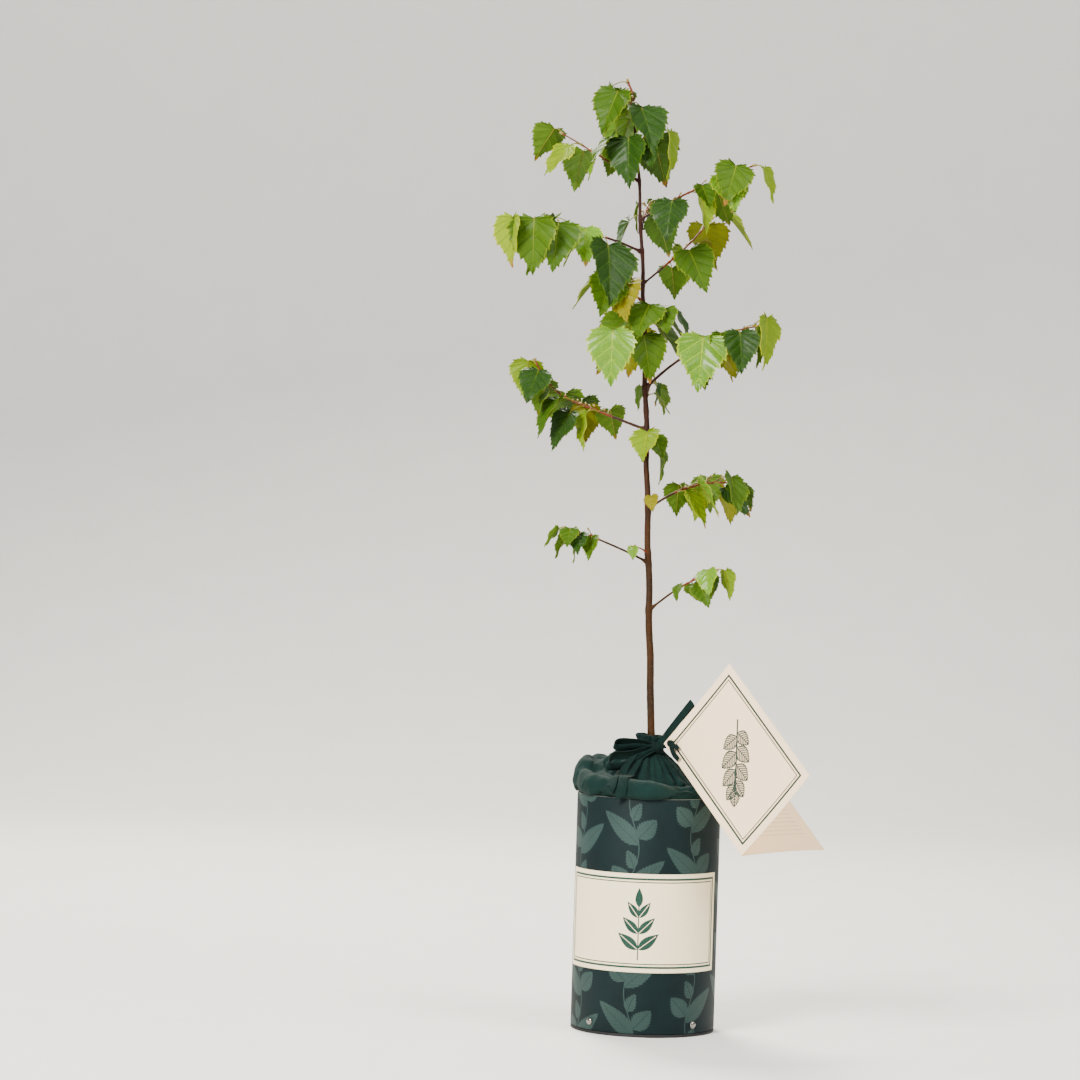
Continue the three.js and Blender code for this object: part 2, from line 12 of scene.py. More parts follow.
import bpy
import numpy as np
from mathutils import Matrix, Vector


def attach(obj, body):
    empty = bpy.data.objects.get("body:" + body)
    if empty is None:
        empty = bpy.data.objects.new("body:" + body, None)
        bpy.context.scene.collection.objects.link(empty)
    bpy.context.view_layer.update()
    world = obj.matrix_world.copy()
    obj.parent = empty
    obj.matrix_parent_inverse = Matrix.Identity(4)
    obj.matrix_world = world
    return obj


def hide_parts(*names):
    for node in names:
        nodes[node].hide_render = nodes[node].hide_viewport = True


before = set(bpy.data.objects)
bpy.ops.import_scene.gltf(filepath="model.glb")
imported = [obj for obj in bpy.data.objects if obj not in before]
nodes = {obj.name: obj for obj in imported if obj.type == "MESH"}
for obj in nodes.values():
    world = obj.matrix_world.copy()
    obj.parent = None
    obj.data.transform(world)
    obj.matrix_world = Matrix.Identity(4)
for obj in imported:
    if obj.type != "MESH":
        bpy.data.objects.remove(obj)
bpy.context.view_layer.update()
MM = 0.001

# %% [markdown]
# ## Camera
#
# The picture was taken from nearly three metres away with a long lens, a little above the
# middle of the plant, and the camera leaned about two degrees to one side. A long lens keeps
# the tube's sides parallel, so the place and the lens are worked out together.

# %% Camera
CAMERA_PLACE = (-0.0909, -2.971, 0.403)
CAMERA_DIP = 0.6
CAMERA_LEAN = 1.8
LENS = 129.2

bpy.ops.object.camera_add(
    location=CAMERA_PLACE,
    rotation=(math.radians(90 - CAMERA_DIP), math.radians(-CAMERA_LEAN), 0),
)
camera = bpy.context.object
camera.name = "camera"
camera.data.sensor_width = 36
camera.data.lens = LENS
bpy.context.scene.camera = camera
print("camera", round(Vector(CAMERA_PLACE).length, 2), "m away, lens", LENS, "mm")

# %% [markdown]
# ## Shader arithmetic
#
# A finish is easier to read as a formula than as a web of boxes. `Shade` wraps one output of
# a node, and its arithmetic adds Math nodes. `Finish` owns a material: `add` takes a node's
# type, its settings and its inputs, so one method is enough for every other node.

# %% Shader arithmetic
class Shade:
    """A value that changes over a surface. Ordinary arithmetic works on it."""

    def __init__(self, finish, node, output=0):
        self.finish, self.node, self.socket = finish, node, node.outputs[output]

    def out(self, output):
        return Shade(self.finish, self.node, output)

    def calc(self, operation, *values, clamp=False):
        settings = {"operation": operation, "use_clamp": clamp}
        return self.finish.add("Math", settings, dict(enumerate(values)))

    def __rsub__(self, other):
        return self.calc("SUBTRACT", other, self)

    def clamped(self):
        return self.calc("ADD", self, 0.0, clamp=True)

    def from_whole(self):
        """How far the value is from the nearest whole number."""
        return abs((self + 0.5).fraction() - 0.5)


# every other sign or word is one Math node
OPERATIONS = {
    "__add__": "ADD", "__radd__": "ADD", "__sub__": "SUBTRACT", "__mul__": "MULTIPLY",
    "__rmul__": "MULTIPLY", "__truediv__": "DIVIDE", "__pow__": "POWER", "__abs__": "ABSOLUTE",
    "__gt__": "GREATER_THAN", "__lt__": "LESS_THAN", "least": "MINIMUM", "most": "MAXIMUM",
    "sine": "SINE", "root": "SQRT", "floored": "FLOOR", "fraction": "FRACT",
    "remainder": "FLOORED_MODULO", "angle_from": "ARCTAN2",
}
for word, operation in OPERATIONS.items():
    setattr(Shade, word, lambda self, *others, kind=operation: self.calc(kind, self, *others))
print(len(OPERATIONS), "signs and words of arithmetic")


# %% A finish
def ink(text):
    """A screen colour such as "6f9a2c" as the linear colour that a shader wants."""
    parts = [int(text[i : i + 2], 16) / 255 for i in (0, 2, 4)]
    return (*[p / 12.92 if p < 0.04045 else ((p + 0.055) / 1.055) ** 2.4 for p in parts], 1.0)


class Finish:
    """A material with one main shader, built up by formulas."""

    def __init__(self, name, **constants):
        self.material = bpy.data.materials.new(name)
        self.material.use_nodes = True
        self.tree = self.material.node_tree
        self.skin = self.tree.nodes["Principled BSDF"]
        self.show(**constants)

    def add(self, kind, settings, inputs):
        node = self.tree.nodes.new("ShaderNode" + kind)
        for key, value in settings.items():
            setattr(node, key, value)
        for key, value in inputs.items():
            self.join(node.inputs[key], value)
        return Shade(self, node)

    def join(self, socket, value):
        if isinstance(value, Shade):
            self.tree.links.new(value.socket, socket)
        else:
            socket.default_value = ink(value) if isinstance(value, str) else value

    def show(self, height=None, **sockets):
        """Sets what shows. A height in millimetres becomes bumps."""
        if height is not None:
            sockets["Normal"] = self.add("Bump", {}, {"Height": height, "Distance": MM, "Strength": 1.0})
        for name, value in sockets.items():
            self.join(self.skin.inputs[name.replace("_", " ")], value)

    def place(self):
        return self.add("TexCoord", {}, {}).out("Object")

    def parts(self, vector):
        cut = self.add("SeparateXYZ", {}, {0: vector})
        return cut.out("X"), cut.out("Y"), cut.out("Z")

    def uv(self, layer):
        return self.parts(self.add("UVMap", {"uv_map": layer}, {}))

    def speckle(self, size, stretch=(1, 1, 1), detail=3.0, kind="Noise"):
        """Noise in the object's own place; size is how wide its spots are, in millimetres."""
        scale = tuple(1 / (size * MM * way) for way in stretch)
        spot = self.add("VectorMath", {"operation": "MULTIPLY"}, {0: self.place(), 1: scale})
        if kind == "Noise":
            return self.add("TexNoise", {}, {"Vector": spot, "Scale": 1.0, "Detail": detail})
        settings = {"feature": "DISTANCE_TO_EDGE"} if kind == "Cells" else {"feature": "F1"}
        return self.add("TexVoronoi", settings, {"Vector": spot, "Scale": 1.0})

    def blend(self, share, below, above):
        return self.add("Mix", {"data_type": "RGBA"}, {0: share, 6: below, 7: above}).out(2)

    def ease(self, value, low, high):
        """0 below low, 1 above high, and smooth between."""
        settings = {"interpolation_type": "SMOOTHSTEP", "clamp": True}
        return self.add("MapRange", settings, {0: value, 1: low, 2: high, 3: 0.0, 4: 1.0})


def grainy(name, grain, tones, roughness, rougher, height=None, **constants):
    """A finish whose tones, roughness and bumps all come from one noise."""
    finish = Finish(name, **constants)
    noise = finish.speckle(*grain)
    bumps = None if height is None else noise * height
    finish.show(bumps, Base_Color=finish.blend(noise, *tones), Roughness=noise * rougher + roughness)
    return finish


print("shader arithmetic ready")

# %% [markdown]
# ## Modelling by hand
#
# Each piece starts as a primitive at its size and place. Nothing else may be selected while
# an operator runs, so everything is deselected first. At the end a piece's place goes into
# its mesh, its object stays at the origin, it is hung on what it rides on, it gets its
# finishes, and the solids it stands for are hidden.

# %% Choosing and naming pieces
def choose(piece):
    bpy.ops.object.select_all(action="DESELECT")
    piece.select_set(True)
    bpy.context.view_layer.objects.active = piece


def removed(piece):
    choose(piece)
    bpy.ops.object.delete()


def named(name):
    piece = bpy.context.object
    piece.name = piece.data.name = name
    return piece


def linked(name, mesh):
    mesh.name = name
    piece = bpy.data.objects.new(name, mesh)
    bpy.context.collection.objects.link(piece)
    return piece


def meshed(name, points, faces):
    mesh = bpy.data.meshes.new(name)
    mesh.from_pydata(np.vstack(points).tolist(), [], faces)
    return linked(name, mesh)


# %% Modifiers
def worked(piece, kind, **settings):
    """Adds a modifier and applies it."""
    choose(piece)
    modifier = piece.modifiers.new(kind.title(), kind)
    for key, value in settings.items():
        setattr(modifier, key, value)
    bpy.ops.object.modifier_apply(modifier=modifier.name)


def thickened(piece, wall, side):
    """Gives a sheet its wall, inwards at side -1 and outwards at 1."""
    worked(piece, "SOLIDIFY", thickness=wall * MM, offset=side)


def bevelled(piece, width, segments, angle=30):
    settings = {"limit_method": "ANGLE", "angle_limit": math.radians(angle)}
    worked(piece, "BEVEL", width=width * MM, segments=segments, **settings)


def roughened(piece, size, depth, strength, middle, kind="SOFT_NOISE"):
    """Moves the skin in and out by a cloudy noise."""
    noise = bpy.data.textures.new(piece.name, "CLOUDS")
    noise.noise_type = kind
    noise.noise_scale = size * MM
    noise.noise_depth = depth
    settings = {"texture": noise, "mid_level": middle, "texture_coords": "LOCAL"}
    worked(piece, "DISPLACE", strength=strength * MM, **settings)


# %% Edit mode
def pick(piece, wanted=lambda part: True, kind="FACE"):
    """Goes into edit mode with only the faces, or the edges, that are wanted."""
    choose(piece)
    bpy.ops.object.mode_set(mode="EDIT")
    bpy.ops.mesh.select_mode(type=kind)
    bpy.ops.mesh.select_all(action="DESELECT")
    bpy.ops.object.mode_set(mode="OBJECT")
    for part in piece.data.polygons if kind == "FACE" else piece.data.edges:
        part.select = wanted(part)
    bpy.ops.object.mode_set(mode="EDIT")


def faces_up(face):
    return face.normal.z > 0.9


def faces_down(face):
    return face.normal.z < -0.9


def raised(height):
    bpy.ops.mesh.extrude_region_move(TRANSFORM_OT_translate={"value": (0, 0, height * MM)})


def done_editing():
    bpy.ops.object.mode_set(mode="OBJECT")


def closed(piece, reach=0.01, outwards=True):
    """Merges points that lie on each other, such as at a seam."""
    pick(piece)
    bpy.ops.mesh.remove_doubles(threshold=reach * MM)
    if outwards:
        bpy.ops.mesh.normals_make_consistent(inside=False)
    done_editing()


# %% Points
def points_of(piece):
    flat = np.empty(3 * len(piece.data.vertices))
    piece.data.vertices.foreach_get("co", flat)
    return flat.reshape(-1, 3)


def polar(azimuth, radius, height):
    turn = math.radians(azimuth)
    return np.array([radius * math.cos(turn), radius * math.sin(turn), height])


def move_points(piece, points):
    piece.data.vertices.foreach_set("co", np.asarray(points, dtype=float).ravel())
    piece.data.update()


# %% Hand-over
def rounded(piece, angle=40):
    choose(piece)
    bpy.ops.object.shade_smooth_by_angle(angle=math.radians(angle))


def settled_in(piece):
    choose(piece)
    bpy.ops.object.transform_apply(location=True, rotation=True, scale=True)


def handed_over(piece, finishes, slot, *stands_for):
    settled_in(piece)
    for finish in finishes:
        piece.data.materials.append(finish.material)
    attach(piece, "root")
    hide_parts(*stands_for)
    piece.data.calc_loop_triangles()
    print(piece.name, len(piece.data.loop_triangles), "triangles")


# %% Lines and shares
def held(share):
    """A number kept from 0 to 1."""
    return min(1.0, max(0.0, share))


def swelling(distance, width):
    """How much of a soft bump is left at a distance from its middle."""
    return math.exp(-((distance / width) ** 2))


def unit(vectors):
    return vectors / np.linalg.norm(vectors, axis=-1, keepdims=True)


def ways_of(line):
    """The direction of a line at each of its places."""
    return unit(np.gradient(line, axis=0))


def run_of(line):
    """How far each place is along the line."""
    return np.concatenate([[0], np.cumsum(np.linalg.norm(np.diff(line, axis=0), axis=1))])


def between(at, run, table):
    """What the table says at a distance that may lie between two of its rows."""
    return np.stack([np.interp(at, run, column) for column in table.T], -1)


# %% [markdown]
# ## Pot: tube, base and rivets
#
# The pot is a spiral-wound cardboard tube wrapped in printed paper, on a black plug whose
# edge shows as a thin line under it. A cylinder with open ends gets its wall with Solidify,
# and a small bevel stands for the paper turned over the rim. Four domed rivets hold the plug.

# %% Tube
ROUND_SIDES = 144
TUBE_RADIUS = 55
TUBE_TOP = 180
TUBE_FOOT = 2.5
TUBE_WALL = 2.6

bpy.ops.mesh.primitive_cylinder_add(
    vertices=ROUND_SIDES, radius=TUBE_RADIUS * MM, depth=(TUBE_TOP - TUBE_FOOT) * MM,
    end_fill_type="NOTHING", location=(0, 0, (TUBE_TOP + TUBE_FOOT) / 2 * MM),
)
tube = named("tube")
thickened(tube, TUBE_WALL, -1)
bevelled(tube, 0.5, 3)
rounded(tube)

# %% Black base
BASE_THICK = 2.2
PLUG_STEP = 2.9
PLUG_RISE = 2.8
FOOT_RING = 7

bpy.ops.mesh.primitive_cylinder_add(
    vertices=ROUND_SIDES, radius=TUBE_RADIUS * MM, depth=BASE_THICK * MM,
    location=(0, 0, BASE_THICK / 2 * MM),
)
base = named("black_plug")
pick(base, faces_up)
bpy.ops.mesh.inset(thickness=PLUG_STEP * MM)
raised(PLUG_RISE)
done_editing()
pick(base, faces_down)
bpy.ops.mesh.inset(thickness=FOOT_RING * MM)
bpy.ops.mesh.inset(thickness=0.6 * MM, depth=-0.5 * MM)
done_editing()
bevelled(base, 0.35, 2)
rounded(base)

# %% Rivets
RIVET_RADIUS = 2.9
RIVET_FLATNESS = 0.55
RIVET_HEIGHT = 9
FIRST_RIVET = -48

bpy.ops.mesh.primitive_uv_sphere_add(segments=28, ring_count=16, radius=RIVET_RADIUS * MM)
dome = named("rivet_dome")
dome.scale = (1, 1, RIVET_FLATNESS)
settled_in(dome)
pick(dome)
bpy.ops.mesh.bisect(plane_co=(0, 0, 0), plane_no=(0, 0, 1), use_fill=True, clear_inner=True)
done_editing()
pick(dome, faces_down)
bpy.ops.mesh.inset(thickness=0.45 * MM, use_outset=True)
raised(-0.3)
done_editing()
bevelled(dome, 0.12, 2, 50)
rounded(dome)

rivets = []
for count in range(4):
    azimuth = FIRST_RIVET + 90 * count
    rivet = linked(f"rivet_head_{count + 1}", dome.data.copy())
    rivet.location = polar(azimuth, TUBE_RADIUS + 0.3, RIVET_HEIGHT) * MM
    rivet.rotation_euler = (0, math.radians(90), math.radians(azimuth))
    rivets.append(rivet)
removed(dome)
print(len(rivets), "rivets set")

# %% [markdown]
# ## Printed paper
#
# The tube's print is of waving stems with a leaf on each outward bend and a smaller one
# across from it. A leaf is a formula: the distance along it gives its width there, and the
# spot is inked where it lies within that width. The same leaf formula serves the label and
# the card. The ink is grainy, as on uncoated paper.

# %% A printed leaf
SHOULDER = 0.78
TOOTH_GAP = 2.6


def leaf_print(x, z, foot, lean, length, width, teeth=0.0):
    """How deep a spot lies inside a leaf, in millimetres, and its share of the length."""
    turn = math.radians(lean)
    x, z = x - foot[0], z - foot[1]
    share = (x * math.sin(turn) + z * math.cos(turn)) / length
    aside = abs(x * math.cos(turn) - z * math.sin(turn))
    half = (share.clamped() ** SHOULDER * math.pi).sine() * (width / 2)
    if teeth:
        along = (share * length - aside * 0.5) / TOOTH_GAP
        half = half + along.fraction() * teeth * (share > 0.12) * (share < 0.94)
    return half - aside, share, aside


def inked(depth, soft=0.3):
    return (depth / soft).clamped()


def veined(share, aside, length, gap, thick, soft):
    """Slanting strokes at even gaps along a leaf."""
    return inked(thick - ((share * length - aside * 0.9) / gap).from_whole() * gap, soft)


# %% Print on the tube
STEMS = 7
STEM_GAP = 2 * math.pi * TUBE_RADIUS / STEMS
REPEAT = 36
STEM_SHIFT = 0.72
STEM_SWAY = 4.2
LAP_AT = 158
# foot, lean, length and width of the leaves at each bend
PRINT_LEAVES = [((0, -15), 40, 33, 15.0), ((0, -10), -52, 24, 11.0), ((0, 3), -34, 17, 7.5)]

paper = Finish("printed tube paper", Specular_IOR_Level=0.16)
x, y, z = paper.parts(paper.place())
around = y.angle_from(x) * TUBE_RADIUS
column = (around / STEM_GAP + 0.5).floored()
lifted = z / MM + column * (REPEAT * STEM_SHIFT)
wave = (lifted * (math.pi / REPEAT)).sine() * STEM_SWAY
sideways = around - column * STEM_GAP - wave
level = (lifted / REPEAT + 0.5).floored()
turned_left = abs(level.remainder(2.0))
outside = sideways * (1 - turned_left * 2)
upward = lifted - level * REPEAT

shape = inked(0.6 - abs(sideways), 0.3)
rib = shape * 0
for foot, lean, length, width in PRINT_LEAVES:
    depth, share, aside = leaf_print(outside, upward, foot, lean, length, width, 1.1)
    body = inked(depth)
    midrib = inked(0.34 - aside, 0.2) * (share < 0.86)
    side_veins = veined(share, aside, length, 3.4, 0.3, 0.25) * 0.6
    shape, rib = shape.most(body), rib.most(body * midrib.most(side_veins))

# %% Ink, rim and board of the tube
grain = paper.speckle(0.7, detail=4.0)
cloud = paper.speckle(26, detail=2.0)
teal = paper.blend(cloud, "010d0e", "031b1e")
worn_ink = (cloud * 0.5 + grain * 0.8 - 0.25).clamped()
leafy = paper.blend(worn_ink, "1a2c2a", "364b47")
print_colour = paper.blend(shape * (1 - rib * 0.5), teal, leafy)
outward = (x * x + y * y).root() / MM
inside = paper.ease(outward, TUBE_RADIUS - 0.6, TUBE_RADIUS - 1.2)
rim = paper.ease(z / MM, TUBE_TOP - 0.45, TUBE_TOP - 0.1) * (grain * 0.8)
board = paper.blend(grain, "23292a", "343a39")
lap = inked(0.5 - abs(around - LAP_AT), 0.4) * (y > 0)
fibre = paper.speckle(0.35, (1, 1, 2.5), detail=2.0)
paper.show(
    fibre * 0.05 + grain * 0.05 + lap * 0.12 + shape * 0.015,
    Base_Color=paper.blend(inside, paper.blend(rim, print_colour, "8f9184"), board),
    Roughness=0.52 + grain * 0.16 - shape * 0.05,
)

# %% Black board and steel
ALL_WAYS = (1, 1, 1)
black = grainy(
    "black board", (0.5, ALL_WAYS, 4.0), ("101112", "1f2021"), 0.55, 0.2, 0.08, Specular_IOR_Level=0.3
)
steel = grainy(
    "polished rivet steel", (0.25, (1, 1, 4), 2.0), ("6e6b66", "a8a59e"), 0.14, 0.14, 0.01, Metallic=1.0
)
handed_over(tube, [paper], "printed_tube", "pot_tube")
handed_over(base, [black], "black_base", "pot_base")
for count, rivet in enumerate(rivets):
    handed_over(rivet, [steel], "rivet", f"rivet_{count + 1}")

# %% [markdown]
# ## Label
#
# The label is a band of felt-marked paper glued round the front half of the tube. It starts
# as a flat grid, so it already has a flat layout for its print, and each column of points is
# then laid round the tube. It has a border of two rules and a plain sprig.

# %% Laying a flat grid into place
def laid(name, across, along, place):
    """A flat grid, each of whose points goes to place(u, v) in millimetres."""
    bpy.ops.mesh.primitive_grid_add(x_subdivisions=across, y_subdivisions=along, size=1)
    piece = named(name)
    flat = points_of(piece) + 0.5
    move_points(piece, np.array([place(u, v) for u, v, _ in flat]) * MM)
    return piece


# %% Label
LABEL_LOW = 49
LABEL_HIGH = 123.5
LABEL_SPREAD = 148
LABEL_MIDDLE = -97
LABEL_WIDE = math.radians(LABEL_SPREAD) * TUBE_RADIUS
LABEL_TALL = LABEL_HIGH - LABEL_LOW

label = laid("label", 110, 14, lambda u, v: polar(
    LABEL_MIDDLE + (u - 0.5) * LABEL_SPREAD, TUBE_RADIUS + 0.12, LABEL_LOW + v * LABEL_TALL
))
thickened(label, 0.32, 1)
rounded(label)


# %% Paper with a ruled border
def felt_paper(name, wide, tall, border, colour):
    """Paper whose flat layout is wide by tall millimetres, with a border of two rules."""
    finish = Finish(name, Specular_IOR_Level=0.25, Sheen_Weight=0.08)
    u, v, _ = finish.uv("UVMap")
    x, z = (u - 0.5) * wide, (v - 0.5) * tall
    inward = (wide / 2 - abs(x)).least(tall / 2 - abs(z))
    rules = inked(0.9 - abs(inward - border), 0.2).most(inked(0.5 - abs(inward - border - 2.4), 0.2))
    marks = finish.speckle(2.2, (1, 1, 0.8))
    fine = finish.speckle(0.4, detail=2.0)
    ground = finish.blend(marks * 0.5, colour, "fff0d4")
    aged = finish.blend(inked(1.2 - inward, 1.2) * 0.25, ground, "cdbf9e")
    finish.show(marks * 0.16 + fine * 0.05, Roughness=0.78 + marks * 0.12)
    return finish, x, z, rules, aged


def printed(finish, mark, ground, colour):
    fleck = finish.speckle(0.5)
    shown = mark * (0.85 + fleck * 0.3).clamped()
    finish.show(Base_Color=finish.blend(shown, ground, colour))


# %% Sprig on the label
label_paper, x, z, mark, ground = felt_paper("label paper", LABEL_WIDE, LABEL_TALL, 4.0, "efdfb4")
beside = abs(x)
for height, lean, length in ((-20, 52, 20), (-8, 45, 17.5), (4, 36, 15)):
    depth, share, aside = leaf_print(beside, z, (0, height), lean, length, length * 0.42)
    rib = inked(0.3 - aside, 0.15) * (share < 0.85)
    mark = mark.most(inked(depth, 0.2) * (1 - rib))
depth = leaf_print(x, z, (0, 12), 0, 15, 6)[0]
twig = inked(0.5 - beside, 0.15) * (abs(z + 5) < 23)
mark = mark.most(inked(depth, 0.2)).most(twig)
printed(label_paper, mark, ground, "0a372d")
handed_over(label, [label_paper], "label", "pot_label")

# %% [markdown]
# ## How the tree grows
#
# The solid model grows its shoots and leaves by a seeded rule, and the same rule is written
# here again, so that each fine leaf lies where its plain solid does. The dice give the same
# numbers each time. A leaf is drawn again while it would touch a limb or another leaf.

# %% Trunk and shoots
UP = np.array([0.0, 0.0, 1.0])
TRUNK_FOOT = 186.3
TRUNK_TIP = 716
LEAN_START = 225
LEAN_END = 720
BAG_TOP = 226

# name, height, azimuth, reach, rise, arch, upturn, bare share, diameter, leaves, leaf, seed, tints
SHOOTS = [
    ["low_right", 321, -25, 54, 32, 3, 0, 0.42, 1.9, 6, 18, 8, "mmmdpl"],
    ["low_left", 357, 200, 69, 25, 2, 0, 0.56, 2.0, 7, 23, 14, "pmmdmmp"],
    ["small_left", 364, 224, 14, 5, 1, 0, 0, 1.2, 1, 15, 17, "p"],
    ["small_right", 402, -75, 7, 4, 1, 0, 0, 1.2, 1, 15, 300, "b"],
    ["right", 398, 18, 68, 22, 7, 0, 0.3, 2.2, 10, 25, 90, "lmplpdbmd"],
    ["front_spur", 440, -84, 17, 12, 3, 0, 0, 1.6, 5, 25, 161, "mdml"],
    ["left", 459, 157, 94, 31, 0, 20, 0.3, 2.4, 11, 29, 42, "mlbddmpmmdl"],
    ["back_low", 474, 84, 40, 22, 4, 0, 0.3, 1.9, 4, 26, 242, "mmdm"],
    ["right_mid", 491, -24, 88, 48, 8, 0, 0.3, 2.4, 10, 34, 21, "mmbpbmddml"],
    ["front_left_twig", 518, 232, 30, 8, 3, 0, 0.3, 1.6, 4, 33, 115, "lmmp"],
    ["back_spur", 530, 100, 24, 10, 3, 0, 0, 1.6, 4, 33, 279, "ldpb"],
    ["right_spur", 540, -42, 22, 8, 3, 0, 0, 1.6, 4, 29, 96, "mdmd"],
    ["left_spur", 556, 208, 38, 10, 6, 0, 0, 1.7, 6, 29, 374, "bbml"],
    ["right_high", 571, 34, 63, 53, -3, 0, 0.28, 1.9, 6, 31, 172, "mmlbbl"],
    ["left_high", 595, 204, 98, 16, 5, 0, 0.28, 2.2, 8, 38, 150, "dppmmlml"],
    ["back_high", 612, 80, 44, 24, 4, 0, 0.25, 1.7, 5, 29, 365, "ddmdm"],
    ["right_top", 620, -20, 89, 41, 3, 0, 0.28, 1.9, 8, 30, 259, "dlmmppml"],
    ["left_top", 649, 164, 62, 36, 1, 0, 0.34, 1.7, 4, 32, 20, "pplm"],
    ["crown_left", 668, 195, 14, 8, 2, 0, 0, 1.3, 3, 32, 149, "dmm"],
    ["crown_right", 677, -30, 14, 8, 2, 0, 0, 1.2, 3, 32, 384, "ddl"],
    ["crown_back", 689, 88, 13, 9, 2, 0, 0, 1.2, 3, 36, 72, "pdp"],
    ["crown_front", 700, 250, 11, 9, 2, 0, 0, 1.1, 3, 33, 399, "mdm"],
    ["crown_tip", 716, 150, 4, 9, 0, 0, 0, 1.2, 3, 36, 215, "mm"],
]


def dice(seed):
    """A roll gives a number from 0 to 1, and one seed gives the same numbers each time."""
    state = seed * 7919 % 2147483647

    def roll():
        nonlocal state
        state = state * 48271 % 2147483647
        return state / 2147483647

    return roll


def up_trunk(height):
    """The share of the leaning part that lies below a height."""
    return max(0.0, (height - LEAN_START) / (LEAN_END - LEAN_START))


def trunk_at(height):
    share = up_trunk(height)
    return np.array([-23.5 * share - 6.9 * share**6, 3 * math.sin(2.6 * share), height])


def trunk_radius(height):
    share = up_trunk(height)
    foot = max(0.0, (LEAN_START - height) / (LEAN_START - TRUNK_FOOT))
    return (5.8 - 4.3 * share**1.25) / 2 + 2.4 * foot**3 + 0.4 * foot


class Shoot:
    """A limb that leaves the middle of the trunk and arches out to its tip."""

    def __init__(self, row):
        self.name, height, azimuth, self.reach, self.rise, self.arch, self.hook = row[:7]
        self.bare, self.girth, self.count, self.leaf, self.seed, self.tints = row[7:]
        self.start = trunk_at(height)
        self.ahead = polar(azimuth, 1.0, 0.0)
        self.length = math.hypot(self.reach, self.rise)

    def at(self, share):
        lift = self.rise * share + self.arch * 4 * share * (1 - share) + self.hook * share**8
        return self.start + self.ahead * self.reach * share + UP * lift

    def radius(self, share):
        thick = self.girth / 2
        return thick + (min(0.55, thick) - thick) * share


shoots = [Shoot(row) for row in SHOOTS]
print(len(shoots), "shoots, the longest", max(round(shoot.length) for shoot in shoots), "mm")


# %% A place on a leaf
LEAF_FOLD = 0.24
TIP_CURL = 0.13


def turned(vector, axis, angle):
    cosine, sine = math.cos(angle), math.sin(angle)
    return vector * cosine + np.cross(axis, vector) * sine + axis * np.dot(axis, vector) * (1 - cosine)


def on_blade(leaf, share, aside, lift=0.0):
    """A place on a leaf, from shares of its length. The blade folds up and its tip curls down."""
    share, aside, lift = (np.asarray(value, float)[..., None] for value in (share, aside, lift))
    height = LEAF_FOLD * np.abs(aside) - TIP_CURL * share**2 + lift
    return leaf["foot"] + leaf["length"] * (
        share * leaf["along"] + aside * leaf["across"] + height * leaf["face"]
    )


print("a leaf folds up by", LEAF_FOLD, "and curls down by", TIP_CURL, "of its size")


# %% Where each leaf goes
# the places on a leaf, as shares of its length, whose gaps to limbs and other leaves count
MARKS = np.array([
    [0.08, 0], [0.36, 0], [0.66, 0], [0.96, 0], [0.16, 0.3], [0.16, -0.3], [0.42, 0.26], [0.42, -0.26],
])
DRAWS = 12
LIMB_GAP = 4.6
LEAF_GAP = 5.6


def clear_of(marks, taken, distance):
    gaps = marks[:, None] - np.reshape(taken, (-1, 3))[None]
    return bool(((gaps * gaps).sum(-1) > distance * distance).all())


def dealt(shoot, limbs, taken):
    """The shoot's leaves. One that never comes clear in its draws is left out."""
    roll = dice(shoot.seed)
    varied = lambda middle, amount: middle + amount * (2 * roll() - 1)
    first = shoot.bare or 0.42
    step = (1 - first) / shoot.count
    side = 1 if roll() < 0.5 else -1
    leaves = []
    for i in range(shoot.count):
        last = i == shoot.count - 1
        for _ in range(DRAWS):
            share = 0.985 if last else max(first + 0.04, varied(first + step * (i + 0.6), 0.3 * step))
            spread = varied(0, 36) if last else varied(68, 36)
            heading = turned(shoot.ahead, UP, math.radians(spread) * (side if i % 2 else -side))
            hang = math.radians(varied(66, 24))
            turn = math.radians(varied(0, 34))
            length = shoot.leaf * varied(1, 0.34)
            stalk = length * 0.38
            rise = varied(0.05, 0.45) * stalk
            root = shoot.at(share)
            along = heading * math.cos(hang) - UP * math.sin(hang)
            face = turned(heading * math.sin(hang) + UP * math.cos(hang), along, turn)
            leaf = {
                "root": root, "foot": root + heading * 0.85 * stalk + UP * rise, "heading": heading,
                "along": along, "face": face, "across": np.cross(face, along), "length": length,
                "share": share, "stalk": stalk, "shoot": shoot, "place": len(leaves),
            }
            marks = on_blade(leaf, MARKS[:, 0], MARKS[:, 1])
            if clear_of(marks, limbs, LIMB_GAP) and clear_of(marks, taken, LEAF_GAP):
                taken.extend(marks)
                leaves.append(leaf)
                break
    return leaves


limb_marks = [trunk_at(height) for height in range(BAG_TOP, TRUNK_TIP, 4)]
for shoot in shoots:
    marks = math.ceil(shoot.reach / 4)
    limb_marks += [shoot.at(i / marks) for i in range(1, marks)]
leaf_marks = []
leaves = [leaf for shoot in shoots for leaf in dealt(shoot, np.array(limb_marks), leaf_marks)]
print(len(leaves), "leaves, the longest", round(max(leaf["length"] for leaf in leaves)), "mm")

# %% [markdown]
# ## Trunk, boughs and twigs
#
# A stem is a curve with a radius at each point, which Blender sweeps into a tube. The radius
# carries what a bare cylinder lacks: the collar where a bough leaves the trunk, the swelling
# at each leaf's root and the slow taper. The curve is then made a mesh, and the trunk's bark
# is roughened with a Displace modifier.

